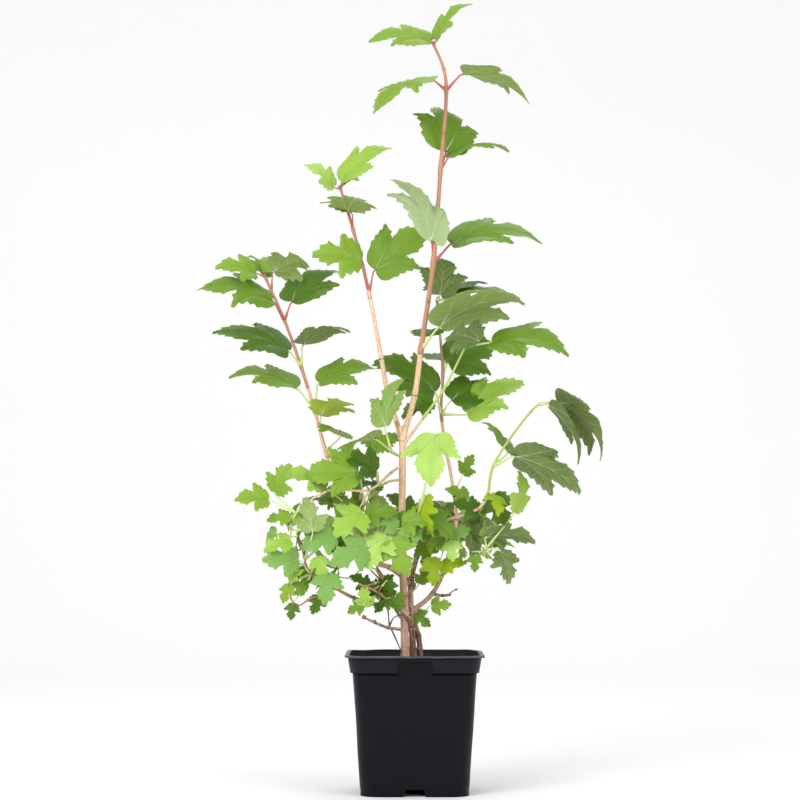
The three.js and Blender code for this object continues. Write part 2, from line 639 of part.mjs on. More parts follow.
// A front leaf's row, written as the other leaves' rows are.
function frontRow(limb, [node, x, y, z, way, lean, turn, length]) {
  const reach = new THREE.Vector3(x, y, z).sub(nodeAt(limb, node));
  const forward = direction(0, way).multiplyScalar(Math.cos(THREE.MathUtils.degToRad(lean)));
  forward.y = -Math.sin(THREE.MathUtils.degToRad(lean));
  const face = new THREE.Vector3(0, -1, 0).applyAxisAngle(forward, THREE.MathUtils.degToRad(turn));
  const angles = anglesOf(forward);
  return [node, ...anglesOf(reach), reach.length(), ...angles, rollTo(face, ...angles), length];
}

// The side twigs of a sprig and their leaves: [{ foot, tip, way, leaves }].
function sprigTwigs({ joints = 0, ...sprig }) {
  const limb = LIMBS[sprig.limb];
  const draw = new Draw(sprig.seed);
  const twigs = [];
  for (let joint = 0; joint < joints; joint++) {
    const node = sprig.from + ((sprig.to - sprig.from) * (joint + 0.7)) / joints;
    const turn = 90 * joint + draw.between(-30, 30);
    for (const side of [0, 180]) {
      const heading = turn + side + draw.between(-20, 20);
      const way = direction(heading, draw.between(-15, 55));
      const foot = nodeAt(limb, node);
      const tip = foot.clone().addScaledVector(way, draw.between(...sprig.twig));
      const leaves = [-65, 0, 65].map((off) => {
        const size = draw.between(...sprig.blade);
        const aim = heading + off + draw.between(-20, 20);
        const bladeAim = aim + draw.between(-25, 25);
        const pitch = draw.between(-55, 15);
        const roll = rollTo(outwards(tip), bladeAim, pitch) + draw.between(-25, 25);
        return [0, aim, draw.between(0, 60), size * draw.between(0.25, 0.5), bladeAim, pitch, roll, size];
      });
      twigs.push({ foot, tip, way, leaves });
    }
  }
  return twigs;
}

// ---------------------------------------------------------------- the whole plant
const built = []; // { name, solid, surface } in the order of growth
const touches = (solid) => built.some((other) => !other.solid.intersect(solid).isEmpty());
const keep = (name, solid, surface) => built.push({ name, solid: oneBody(solid), surface });

// A solid cut clear of every bare limb that is listed before the named one.
function clearOfLimbs(name, solid) {
  const names = Object.keys(LIMBS);
  const before = names.slice(0, names.indexOf(name)).map((other) => LIMBS[other]);
  return before.filter((limb) => bareTo(limb) > 0).reduce((rest, limb) => {
    return rest.subtract(limbSection(limb, 0, bareTo(limb), CLEARANCE));
  }, solid);
}

function bareLimb(name, limb) {
  if (bareTo(limb) > 0) keep(name, clearOfLimbs(name, limbSection(limb, 0, bareTo(limb))), BARK);
}

const tipOf = (foot, [, heading, rise, stalk, bladeHeading, pitch, , length]) => foot.clone()
  .addScaledVector(direction(heading, rise), stalk)
  .addScaledVector(direction(bladeHeading, pitch), length);

// A mass's stem, cut clear of the limb it springs from where it has no bare limb of its own.
function massStem({ limb: limbName, from, to }) {
  const limb = LIMBS[limbName];
  if (bareTo(limb) > 0) return limbSection(limb, pastJoin(limb, from), to, 0, STEM_SIDES);
  return clearOfLimbs(limbName, limbSection(limb, 0, to, 0, STEM_SIDES));
}

// Adds a leaf to a mass's solid, unless it would touch another node or its blade would cross what has grown.
function withLeaf(solid, foot, row, mayCross) {
  const extra = 2 * CLEARANCE;
  if (touches(leafSolid(foot, row, { extra }))) return solid;
  if (!mayCross && !leafSolid(foot, row, { extra, bare: true }).intersect(solid).isEmpty()) return solid;
  return solid.add(leafSolid(foot, row));
}

function withTwig(solid, { foot, tip, way, leaves }, space) {
  const twig = (extra) => tube([foot, tip], TWIG.radii.map((r) => r + extra), [way, way], TWIG.sides);
  if (!within(space, tip) || touches(twig(CLEARANCE))) return solid;
  return leaves
    .filter((row) => within(space, tipOf(tip, row)))
    .reduce((rest, row) => withLeaf(rest, tip, row, false), solid.add(twig(0)));
}

function mass(name, spec) {
  const { leaves = [], front = [], space } = spec;
  const limb = LIMBS[spec.limb];
  const leafy = [...leaves, ...front.map((row) => frontRow(limb, row))].reduce((rest, row) => {
    return withLeaf(rest, nodeAt(limb, row[0]), row, true);
  }, massStem(spec));
  const twiggy = sprigTwigs(spec).reduce((rest, twig) => withTwig(rest, twig, space), leafy);
  keep(name, twiggy, LEAF);
}

keep("pot", pot(), BLACK_PLASTIC);
keep("potting_soil", soil(), PEAT);
for (const [name, limb] of Object.entries(LIMBS)) bareLimb(name, limb);
for (const [name, spec] of Object.entries({ ...MASSES, ...SPRIGS })) mass(name, spec);

const group = new THREE.Group();
for (const { name, solid, surface } of built) group.add(meshOf(name, solid, surface));
export default group;
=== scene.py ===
"""A young guelder rose in full leaf, in a square nursery pot: the looks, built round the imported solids.

Sizes are in millimetres and angles in degrees, as in the part's source. Meshes are scaled to metres once,
when they are made. +Z is up and the front is towards -Y.
"""
import math

import bmesh
import bpy
import numpy as np
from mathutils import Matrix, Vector, noise
from mathutils.bvhtree import BVHTree


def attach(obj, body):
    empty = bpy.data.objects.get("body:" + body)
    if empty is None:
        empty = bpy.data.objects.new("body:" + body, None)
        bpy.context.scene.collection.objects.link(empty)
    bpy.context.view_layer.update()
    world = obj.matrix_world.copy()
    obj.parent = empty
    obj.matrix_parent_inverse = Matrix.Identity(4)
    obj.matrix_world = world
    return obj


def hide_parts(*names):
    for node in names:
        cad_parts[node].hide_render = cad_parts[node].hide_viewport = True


MM = 0.001
WELD = 0.002  # points this close are one
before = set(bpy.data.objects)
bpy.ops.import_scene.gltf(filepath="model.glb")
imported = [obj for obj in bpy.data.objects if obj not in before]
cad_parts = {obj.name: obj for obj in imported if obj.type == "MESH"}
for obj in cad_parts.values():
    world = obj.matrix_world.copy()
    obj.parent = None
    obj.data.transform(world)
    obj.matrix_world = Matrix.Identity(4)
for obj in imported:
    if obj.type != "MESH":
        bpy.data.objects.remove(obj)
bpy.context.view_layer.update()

# ---------------------------------------------------------------- the limbs, as in the part's source
CLEARANCE = 0.3
SOIL_TOP = 150
SOIL_CROWN = 3
GROUND = SOIL_TOP + SOIL_CROWN + CLEARANCE

# nodes are the joints that a limb runs through, girth its radius at the foot and the tip. ends says at which
# node the bare limb stops, 0 where none of it is bare. bark names its colour.
LIMBS = {
    "main_stem": dict(
        nodes=[(-11, 0, GROUND), (-13, 0, 233), (-15, 0, 318), (-15, 0, 428), (-17, 0, 441)],
        girth=(4.8, 3.9), flare=0.35, bark="tan"),
    "second_stem": dict(
        nodes=[(-1, 11, GROUND), (-3, 10, 195), (-4, 10, 253), (3, 12, 283), (7, 14, 303)],
        girth=(4.2, 2.4), flare=0.4, bark="old"),
    "third_stem": dict(
        nodes=[(7.5, 20, GROUND), (5, 18, 185), (-3, 10, 210)],
        girth=(3.6, 3), flare=0.4, bark="old"),
    "right_bough": dict(
        nodes=[(-15, 0, 424), (0, -8, 477), (8, -14, 534), (23, -20, 639), (32, -22, 754), (39, -22, 851),
               (36, -22, 877), (24, -22, 907)],
        girth=(3.8, 1.5), ends=1.9, bark="tan"),
    "left_bough": dict(
        nodes=[(-15, 0, 424), (-33, 10, 485), (-40, 16, 523), (-56, 30, 608), (-76, 46, 689),
               (-92, 56, 742)],
        girth=(3.4, 1.6), ends=2.9, bark="tan"),
    "far_left_bough": dict(
        nodes=[(-4, 10, 250), (-30, 16, 269), (-46, 19, 275), (-79, 21, 321), (-109, 26, 411),
               (-123, 30, 462), (-140, 36, 517), (-161, 42, 575), (-178, 48, 613), (-187, 50, 631)],
        girth=(3.4, 1.3), ends=3.9, bark="tan"),
    "back_bough": dict(
        nodes=[(-3, 11, 216), (22, 20, 237), (42, 36, 280), (52, 45, 327), (50, 50, 356), (34, 60, 459),
               (36, 66, 509), (29, 74, 603)],
        girth=(3, 1.5), ends=4.9, bark="tan"),
    "arching_bough": dict(
        nodes=[(-15, -2, 306), (28, -20, 323), (76, -40, 340), (86, -45, 352), (94, -55, 391),
               (139, -75, 456), (147, -78, 463)],
        girth=(2, 1.2), ends=2.8, bark="tan"),
    "fork_twig": dict(
        nodes=[(-14, 0, 417), (14, -10, 455), (35, -16, 484), (62, -24, 537)],
        girth=(2, 1.2), ends=0.85, bark="tan"),
    "arc_twig": dict(
        nodes=[(-14, 0, 394), (-28, -16, 384), (-54, -34, 363), (-103, -50, 361), (-141, -60, 334),
               (-149, -62, 302)],
        girth=(1.7, 1.1), ends=3.7, bark="tan"),
    "short_arc_twig": dict(
        nodes=[(-15, 0, 376), (-34, -10, 372), (-52, -18, 356), (-67, -22, 332)],
        girth=(1.7, 1.1), ends=1.1, bark="tan"),
    "crotch_twig": dict(
        nodes=[(-15, 0, 403), (-22, -8, 406), (-29, -13, 412)],
        girth=(1.5, 1.2), ends=0, bark="tan"),
    "old_branch": dict(
        nodes=[(-3, 9, 200), (-8, -9, 212), (-23, -12, 225), (-29, -6, 243), (-45, 12, 266)],
        girth=(3.8, 2.4), bark="old"),
    "low_left_twig": dict(
        nodes=[(-23, -12, 225), (-46, -24, 225), (-72, -34, 233), (-95, -42, 245), (-124, -48, 262),
               (-136, -50, 298)],
        girth=(2.8, 1.1), ends=2.2, bark="old"),
    "bare_twig": dict(
        nodes=[(-13, 0, 194), (-32, -10, 197), (-47, -18, 203), (-62, -24, 210)],
        girth=(2, 1.3), bark="old"),
    "low_right_twig": dict(
        nodes=[(30, 26, 256), (46, 4, 268), (62, -10, 277), (78, -20, 284), (86, -28, 292)],
        girth=(1.6, 1.1), ends=2.7, bark="tan"),
    "cut_spur": dict(
        nodes=[(22, 20, 237), (34, 14, 235), (44, 8, 236)],
        girth=(1.8, 1.6), bark="old"),
    "front_twig": dict(
        nodes=[(-14, 0, 282), (-12, -20, 296), (-6, -38, 318), (6, -50, 338)],
        girth=(1.6, 1.1), ends=0, bark="tan"),
    "foot_twig": dict(
        nodes=[(-23, -12, 225), (-34, -30, 232), (-48, -44, 242), (-66, -50, 250)],
        girth=(1.6, 1.1), ends=0, bark="tan"),
    "spur_twig": dict(
        nodes=[(5, 13, 292), (20, 2, 296), (38, -8, 300), (54, -14, 296)],
        girth=(1.5, 1.1), ends=0, bark="tan"),
    "back_left_twig": dict(
        nodes=[(-3, 11, 190), (-22, 44, 216), (-44, 74, 262), (-58, 92, 320)],
        girth=(2.2, 1.2), ends=1.4, bark="old"),
    "back_right_twig": dict(
        nodes=[(42, 36, 280), (46, 58, 292), (52, 82, 305), (56, 104, 325)],
        girth=(2.2, 1.2), ends=1.4, bark="old"),
}

# ---------------------------------------------------------------- the leafy masses, as in the source
# A leaf's row: node number, its petiole's heading, rise and length, then its blade's heading, pitch, roll
# and length, and last its tint. A front leaf's row: node number, its blade's base, its way as it is seen from
# the front (0 towards +X and 90 up), how far it leans forwards, how far it is turned round its midrib from
# facing the front, length and tint. shoot is the colour of a mass's stem and petiole that of its petioles,
# green where none is given. Where a mass has a seed, side twigs grow too: joints pairs of them, their
# length between the two of twig, their leaves' between the two of blade, all within space, an ellipsoid given
# by its middle and its half sizes.
MASSES = {
    "right_shoot_low": dict(
        start=1.9, end=2.55, shoot="pink",
        leaves=[(2, 330, 45, 39, 330, 15, -12, 115, "mid"), (2, 75, 35, 30, 75, 15, 0, 45, "deep")]),
    "right_shoot_middle": dict(
        start=2.55, end=4.4, shoot="pink", petiole="red",
        leaves=[(3, 235, 80, 27, 235, 42, -28, 104, "cool"), (3, 10, 45, 35, 10, 5, 25, 111, "mid"),
                (4, 60, 60, 26, 90, 50, 20, 88, "mid"), (4, 20, 50, 22, 20, 12, 10, 76, "mid")]),
    "right_shoot_top": dict(
        start=4.4, end=7, shoot="pink", petiole="red",
        leaves=[(5, 200, 28, 24, 205, -32, -10, 88, "fresh"), (5, 345, 40, 28, 345, -25, -5, 91, "mid"),
                (7, 180, 40, 6, 172, 4, -32, 76, "fresh"), (7, 350, 60, 8, 345, 48, 38, 60, "fresh")]),
    "left_shoot_low": dict(
        start=2.9, end=3.5, shoot="tan", petiole="red",
        front=[(3, -48, 28, 637, 36, 0, -20, 80, "mid"), (3, -66, 24, 648, 176, 5, 25, 60, "fresh")]),
    "left_shoot_top": dict(
        start=3.5, end=5, shoot="pink", petiole="red",
        leaves=[(4, 215, 70, 24, 285, 8, -8, 58, "mid"), (4, 145, 80, 22, 150, 20, -10, 46, "mid"),
                (5, 355, 75, 10, 355, 35, 40, 74, "light"), (5, 195, 10, 10, 195, 40, -50, 45, "bright"),
                (5, 310, 30, 10, 310, 5, 30, 26, "lime")]),
    "far_left_shoot_low": dict(
        start=3.9, end=5.5, shoot="tan",
        leaves=[(4, 325, 40, 30, 245, 5, -20, 50, "mid"), (4.5, 305, 75, 20, 305, 10, -10, 60, "lime"),
                (5, 175, 50, 36, 175, 10, -20, 86, "mid"), (5, 5, 80, 36, 10, 15, 30, 72, "mid")]),
    "far_left_shoot_middle": dict(
        start=5.5, end=6.5, shoot="pink",
        leaves=[(6, 180, 50, 26, 180, 15, -30, 95, "deep"), (6, 300, 75, 27, 325, 15, 0, 70, "deep")]),
    "far_left_shoot_top": dict(
        start=6.5, end=9, shoot="pink", petiole="red",
        leaves=[(7, 195, 55, 29, 190, 10, -30, 92, "mid"), (7, 35, 65, 26, 35, 38, 20, 80, "deep"),
                (8, 330, 80, 24, 325, 12, -35, 54, "mid"), (8, 125, 55, 26, 125, 40, 20, 42, "mid"),
                (9, 205, 15, 12, 200, 8, -50, 52, "fresh"), (9, 80, 40, 10, 80, 40, 0, 34, "fresh")]),
    "back_shoot_low": dict(
        start=4.9, end=5.5, shoot="brown",
        leaves=[(5, 350, 0, 34, 0, 30, 40, 80, "light"), (5, 25, 50, 23, 25, 15, 35, 70, "deep")],
        front=[(5, 25, 56, 487, 152, 0, 45, 84, "deep")]),
    "back_shoot_middle": dict(
        start=5.5, end=6.4, shoot="brown",
        leaves=[(6, 30, 60, 17, 30, 20, 60, 72, "deep"), (6, 80, 50, 24, 80, 0, 0, 80, "deep")]),
    "back_shoot_top": dict(
        start=6.4, end=7, shoot="brown",
        leaves=[(7, 300, 45, 11, 275, 42, -15, 62, "deep"), (7, 15, 10, 14, 12, 0, 10, 100, "mid"),
                (7, 60, 40, 16, 65, 5, 0, 84, "deep")]),
    "arching_shoot": dict(
        start=2.8, end=6, shoot="green",
        leaves=[(3, 320, 20, 12, 280, -45, -20, 32, "lime"), (4, 340, 20, 30, 340, -30, -40, 92, "deep"),
                (4, 60, 25, 40, 110, 30, 40, 62, "mid"), (6, 345, 5, 22, 320, -42, -40, 98, "deep"),
                (6, 325, -10, 16, 335, -60, -30, 78, "deep")],
        front=[(3, 97, -22, 358, -70, 0, 25, 42, "deep")]),
    "fork_sprig": dict(
        start=0.85, end=3, shoot="green",
        leaves=[(3, 340, 5, 34, 345, -5, 30, 94, "mid"), (3, 320, 15, 20, 225, 5, 40, 54, "deep")],
        front=[(1, 23, 14, 470, -155, 0, 40, 42, "deep")]),
    "crotch_sprig": dict(
        start=0, end=2, shoot="green",
        leaves=[(2, 215, 75, 30, 300, 55, 20, 68, "fresh"), (1, 235, 20, 50, 235, -20, 20, 66, "mid"),
                (1, 110, 10, 50, 110, 25, -10, 46, "mid")],
        front=[(2, -47, 6, 461, -160, 0, 50, 40, "fresh")]),
    "short_arc_sprig": dict(
        start=1.1, end=3, shoot="green",
        seed=25, joints=1, blade=(34, 46), twig=(8, 20), space=((-76, -8, 340), (52, 36, 50)),
        tints=("mid", "deep", "fresh"),
        front=[(3, -107, -32, 365, 160, 10, 55, 54, "light"),
               (2.5, -69, -36, 382, 180, 10, 25, 62, "fresh"), (3, -99, -34, 346, 175, 0, 75, 35, "deep"),
               (1.5, -46, -24, 386, 155, 10, 35, 46, "deep"),
               (1.5, -39, -16, 364, 170, 0, 65, 31, "deep"), (1.5, -50, 8, 415, 25, 0, -50, 38, "mid"),
               (3, -73, -24, 341, 145, 0, 30, 23, "mid"), (3, -63, -44, 335, -140, 20, 20, 46, "light"),
               (3, -58, -40, 331, 10, 10, -30, 38, "mid"), (3, -58, -58, 295, -155, 15, 10, 49, "cool"),
               (3, -76, -30, 307, -145, 0, 25, 32, "deep")]),
    "arc_sprig": dict(
        start=3.7, end=5, shoot="green",
        seed=2, joints=1, blade=(32, 42), twig=(6, 16), space=((-150, -40, 310), (40, 40, 40)),
        tints=("light", "fresh", "cool"),
        front=[(4, -166, -64, 359, 60, 10, -25, 38, "fresh"),
               (4, -174, -66, 350, 180, 10, 40, 40, "fresh"), (4, -148, -62, 329, -170, 0, 45, 28, "fresh"),
               (4, -147, -58, 331, -25, 0, -20, 19, "fresh"),
               (5, -147, -64, 301, -160, 10, 40, 34, "light")]),
    "low_left_sprig": dict(
        start=2.2, end=5, shoot="brown",
        seed=41, joints=2, blade=(32, 44), twig=(8, 20), space=((-118, -20, 276), (44, 44, 46)),
        tints=("cool", "mid", "fresh"),
        front=[(4.5, -121, -70, 313, 100, -10, 180, 41, "mid"),
               (4, -139, -58, 279, 180, 15, 15, 43, "cool"), (4, -149, -58, 254, 35, 0, -50, 22, "light"),
               (4, -148, -60, 249, -110, 0, 30, 23, "fresh"), (4, -130, -56, 241, 145, 0, 20, 23, "mid"),
               (3.5, -122, -50, 255, -155, 0, 70, 21, "deep"),
               (4, -143, -60, 227, -100, 0, 20, 20, "deep"),
               (4.5, -96, -56, 310, -155, 10, 15, 43, "cool"),
               (4, -115, -60, 282, -75, 10, 0, 27, "light"),
               (3.5, -101, -62, 263, -100, 15, 0, 39, "cool"),
               (3.5, -114, -50, 236, -110, 0, -20, 23, "deep")]),
    "front_sprig": dict(
        start=0, end=3, shoot="green",
        leaves=[(3, 325, 75, 92, 250, -62, 0, 66, "bright")],
        seed=37, joints=1, blade=(34, 46), twig=(8, 20), space=((-8, -20, 306), (60, 44, 40)),
        tints=("mid", "fresh", "lime"),
        front=[(2, -14, -46, 322, 5, 10, -30, 36, "fresh"), (3, 14, -54, 355, -82, 0, 62, 50, "lime"),
               (1, -32, -50, 306, -125, 15, 30, 46, "bright"), (1, -28, -58, 302, -65, 15, 0, 48, "fresh"),
               (2.5, -21, -46, 316, 155, 0, 30, 27, "cool"),
               (2, 6, -50, 313, -165, 10, 30, 30, "cool"), (1, -3, -28, 299, 175, 0, 50, 25, "mid")]),
    "foot_sprig": dict(
        start=0, end=3, shoot="brown",
        seed=36, joints=1, blade=(24, 34), twig=(6, 14), space=((-48, -24, 244), (30, 36, 26)),
        tints=("deep", "mid"),
        front=[(2.5, -58, -50, 223, 100, 0, 10, 24, "light"), (2.5, -62, -52, 225, -155, 0, 20, 20, "mid"),
               (2.5, -56, -30, 245, 140, 0, 40, 26, "deep"),
               (1.5, -42, -22, 242, 45, 0, -40, 25, "deep"), (1.5, -42, -26, 238, -165, 0, 60, 24, "deep"),
               (1, -30, -30, 233, -135, 0, 30, 25, "deep"), (1, -25, -20, 221, 65, 0, 20, 23, "mid")]),
    "spur_sprig": dict(
        start=0, end=3, shoot="green",
        seed=46, joints=1, blade=(30, 42), twig=(8, 16), space=((34, 4, 300), (36, 40, 34)),
        tints=("lime", "deep", "mid"),
        front=[(0.5, -4, 22, 333, 140, 0, 40, 39, "deep"), (1, 12, -6, 299, -80, 0, 20, 33, "mid"),
               (1.5, 20, -14, 281, -85, 0, -20, 34, "lime"), (1.5, 17, -8, 305, -30, 10, -20, 27, "lime"),
               (2.5, 44, -28, 301, -85, 10, 10, 25, "bright"), (2, 40, -22, 304, 20, 0, -20, 30, "cool"),
               (2, 31, -12, 268, 10, 0, -50, 33, "lime"),
               (2, 31, 4, 312, 50, 0, -10, 22, "deep")]),
    "low_right_sprig": dict(
        start=2.7, end=4, shoot="green",
        seed=9, joints=1, blade=(30, 40), twig=(8, 16), space=((90, -10, 290), (40, 40, 34)),
        tints=("mid", "lime"),
        front=[(4, 87, -36, 306, -5, -5, 235, 58, "deep"), (4, 103, -36, 289, -75, 0, 225, 40, "deep"),
               (3, 73, -24, 284, -95, 0, 0, 20, "mid"), (4, 119, -54, 336, 80, 0, 62, 49, "light")]),
    "back_left_sprig": dict(
        start=1.4, end=3, shoot="brown",
        seed=35, joints=3, blade=(42, 58), twig=(10, 28), space=((-56, 92, 322), (72, 74, 62)),
        tints=("mid", "fresh", "light")),
    "back_right_sprig": dict(
        start=1.4, end=3, shoot="brown",
        seed=8, joints=3, blade=(42, 58), twig=(10, 28), space=((48, 98, 318), (68, 72, 62)),
        tints=("mid", "deep", "fresh")),
}


def limb_of(name):
    """The limb that carries a mass: a sprig's twig or a shoot's bough."""
    carrier = name.replace("_sprig", "_twig") if "_sprig" in name else name.split("_shoot")[0] + "_bough"
    return LIMBS[carrier]


# Single leaves on bare wood: their limb, then a front leaf's row and the petiole's colour.
LONE_LEAVES = [
    ("back_bough", (4.05, 61, 46, 384, 60, 10, -30, 27, "mid"), "green"),
    ("back_bough", (3.5, 65, 40, 352, 150, 0, 40, 30, "fresh"), "green"),
    ("arching_bough", (2, 76, -36, 336, 160, 0, 30, 32, "deep"), "red"),
    ("second_stem", (0.8, 3, 2, 215, -45, 10, 20, 24, "mid"), "green"),
    ("second_stem", (1.1, 21, -2, 223, 5, 10, 0, 24, "fresh"), "green"),
    ("second_stem", (1.7, 6, 2, 250, 70, 0, 20, 22, "mid"), "green"),
]
# Fine twigs that carry the old wood on: colour, radii at foot and tip, whether the tip has a bud, points.
FINE_TWIGS = [
    ("brown", (1.4, 0.9), True, [(-95, -42, 245), (-110, -48, 237), (-122, -53, 234), (-130, -56, 229),
                                 (-137, -58, 225), (-143, -60, 228), (-147, -60, 234), (-149, -60, 249)]),
    ("green", (1.0, 0.7), False, [(-45, 12, 266), (-59, -6, 271), (-66, -16, 266), (-75, -28, 258),
                                  (-83, -38, 257), (-100, -56, 261)]),
    ("dead", (1.0, 0.7), True, [(-30, -9, 196), (-31, -12, 207), (-32, -14, 218)]),
    ("dead", (0.9, 0.6), True, [(-30, -9, 199), (-25, -12, 209), (-18, -12, 212)]),
    ("dead", (0.9, 0.8), False, [(-28, -8, 195), (-22, -7, 182), (-16, -4, 168), (-12, -3, 158)]),
    ("brown", (1.0, 0.7), True, [(42, 9, 236), (46, 6, 240), (50, 5, 242)]),
    ("brown", (1.6, 1.2), False, [(-17, 0, 436), (-20, -2, 441), (-22, -2, 447)]),
    ("tan", (1.3, 1.0), False, [(-54, -34, 363), (-61, -33, 350), (-68, -31, 337), (-73, -28, 322)]),
]
# Knobs on the dead twig and on the old wood: place and radius.
KNOBS = [((-61, -24, 210), 2.7), ((-48, -19, 205), 1.9), ((-41, -15, 200), 1.9), ((-3, 9, 247), 5.2),
         ((-23, -12, 225), 4.4), ((6, 19, 170), 4.2)]
FACING = (1, 0.6)  # outwards and upwards: where the small leaves turn their upper faces
# A petiole's radius, and how much and how far it swells at its foot and at its blade.
STALK = dict(radius=0.5, per_length=0.0075, foot=(1.1, 0.24), end=(0.3, 0.08), sides=7)
TWIG_RADII = (1.3, 1.1, 0.9)
FINE_TWIG_RADII = (0.9, 0.75, 0.6)
FLARE_FADE = 6
# The spans that a sprig's twigs and their three leaves draw their angles and petioles from.
SPRIG = dict(pair_turn=(-30, 30), twig_turn=(-20, 20), twig_rise=(-15, 55), offsets=(-65, 0, 65),
             aim=(-20, 20), blade_aim=(-25, 25), pitch=(-55, 15), roll=(-25, 25), rise=(0, 60),
             stalk=(0.25, 0.5))
PAIR_PLACE = 0.7  # where in its own share of the stem each pair of twigs stands


# ---------------------------------------------------------------- vectors and draws
def direction(heading, rise):
    h, r = math.radians(heading), math.radians(rise)
    return np.array([math.cos(r) * math.cos(h), math.cos(r) * math.sin(h), math.sin(r)])


def unit(v):
    return v / max(np.linalg.norm(v), 1e-9)


def turned(v, axis, angle):
    """v turned about a unit axis."""
    a = math.radians(angle)
    return v * math.cos(a) + np.cross(axis, v) * math.sin(a) + axis * np.dot(axis, v) * (1 - math.cos(a))


class Draw:
    """A portable draw of numbers, the same as in the part's source."""

    def __init__(self, seed):
        self.state = seed
        for _ in range(4):
            self.next()

    def next(self):
        self.state = self.state * 16807 % 2147483647
        return self.state / 2147483647

    def between(self, low, high):
        return low + (high - low) * self.next()


# ---------------------------------------------------------------- limbs as curves
def curve_point(nodes, place):
    """The centripetal Catmull-Rom curve through the nodes, at a node number."""
    last = len(nodes) - 1
    i = min(int(math.floor(place)), last - 1)
    w = place - i
    p = [np.array(n, float) for n in nodes]
    before = p[i - 1] if i > 0 else 2 * p[0] - p[1]
    after = p[i + 2] if i + 2 <= last else 2 * p[last] - p[last - 1]
    x = (before, p[i], p[i + 1], after)
    d0, d1, d2 = (math.sqrt(np.linalg.norm(x[k + 1] - x[k])) for k in range(3))
    t1 = ((x[1] - x[0]) / d0 - (x[2] - x[0]) / (d0 + d1) + (x[2] - x[1]) / d1) * d1
    t2 = ((x[2] - x[1]) / d1 - (x[3] - x[1]) / (d1 + d2) + (x[3] - x[2]) / d2) * d1
    c2 = -3 * x[1] + 3 * x[2] - 2 * t1 - t2
    c3 = 2 * x[1] - 2 * x[2] + t1 + t2
    return x[1] + t1 * w + c2 * w * w + c3 * w ** 3


def node_at(limb, node):
    return curve_point(limb["nodes"], node)


def way_at(limb, node):
    last = len(limb["nodes"]) - 1
    return unit(node_at(limb, min(node + 0.01, last)) - node_at(limb, max(node - 0.01, 0)))


def girth_at(limb, node):
    foot, tip = limb["girth"]
    radius = foot + (tip - foot) * node / (len(limb["nodes"]) - 1)
    return radius * (1 + limb.get("flare", 0) * math.exp(-FLARE_FADE * node))


def bare_to(limb):
    return limb.get("ends", len(limb["nodes"]) - 1)


# ---------------------------------------------------------------- meshes that are joined by kind
class Heap:
    """Vertices and faces that are gathered from many small things into one joined mesh."""

    def __init__(self):
        self.points = []
        self.faces = []
        self.slots = []
        self.nodes = set()
        self.count = 0

    def add(self, points, faces, slots=0):
        self.points.append(np.asarray(points, float))
        self.faces.extend([tuple(i + self.count for i in face) for face in faces])
        self.slots.extend(slots if isinstance(slots, list) else [slots] * len(faces))
        self.count += len(points)


def new_object(name, data):
    made = bpy.data.objects.new(name, data)
    bpy.context.scene.collection.objects.link(made)
    return made


def reworked(mesh, change):
    """Changes a mesh by a function that is given its editable form."""
    work = bmesh.new()
    work.from_mesh(mesh)
    change(work)
    work.to_mesh(mesh)
    work.free()


def faces_out(work):
    bmesh.ops.recalc_face_normals(work, faces=work.faces)


def welded(work):
    """Joins points that lie together, turns faces outwards and keeps the edges between two slots sharp."""
    bmesh.ops.remove_doubles(work, verts=work.verts, dist=WELD * MM)
    faces_out(work)
    for edge in work.edges:
        sides = {face.material_index for face in edge.link_faces}
        edge.smooth = len(sides) < 2


def piece_from(name, heap, materials, weld=False):
    """One joined piece from a heap, in metres, riding on the one body and standing for the heap's nodes."""
    mesh = bpy.data.meshes.new(name)
    mesh.from_pydata(np.concatenate(heap.points) * MM, [], heap.faces)
    mesh.polygons.foreach_set("material_index", np.array(heap.slots, np.int32))
    mesh.polygons.foreach_set("use_smooth", np.ones(len(heap.faces), bool))
    mesh.update()
    if weld:
        reworked(mesh, welded)
    piece = new_object(name, mesh)
    for material in materials:
        mesh.materials.append(material)
    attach(piece, "root")
    if heap.nodes:
        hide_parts(*sorted(heap.nodes))


def tube_rings(centres, ways, radii, sides):
    """Points of a tube: a ring round each centre, its radius a number or one for each side."""
    whole = unit(centres[-1] - centres[0])
    across = np.array([0, 1, 0]) if abs(whole[1]) < 0.75 else np.array([1, 0, 0])
    angles = 2 * np.pi * np.arange(sides) / sides
    rings = []
    for centre, way, radius in zip(centres, ways, radii):
        u = unit(np.cross(across, way))
        v = np.cross(way, u)
        spokes = np.outer(np.cos(angles), u) + np.outer(np.sin(angles), v)
        rings.append(centre + spokes * np.reshape(radius, (-1, 1)))
    return np.concatenate(rings)


def tube_faces(rings, sides):
    faces = []
    for r in range(rings - 1):
        for k in range(sides):
            a, b = r * sides + k, r * sides + (k + 1) % sides
            faces.append((a, b, b + sides, a + sides))
    faces.append(tuple(range(sides - 1, -1, -1)))
    faces.append(tuple(range((rings - 1) * sides, rings * sides)))
    return faces


def add_tube(heap, centres, radii, sides):
    centres = np.asarray(centres, float)
    last = len(centres) - 1
    ways = [unit(centres[min(i + 1, last)] - centres[max(i - 1, 0)]) for i in range(last + 1)]
    heap.add(tube_rings(centres, ways, radii, sides), tube_faces(len(centres), sides))


# ---------------------------------------------------------------- materials
def linear(code):
    """A colour written as six hex digits, as linear numbers."""
    parts = [int(code[i:i + 2], 16) / 255 for i in (0, 2, 4)]
    return [p / 12.92 if p <= 0.04045 else ((p + 0.055) / 1.055) ** 2.4 for p in parts] + [1]


def set_inputs(node, **values):
    for name, value in values.items():
        node.inputs[name.replace("_", " ")].default_value = value


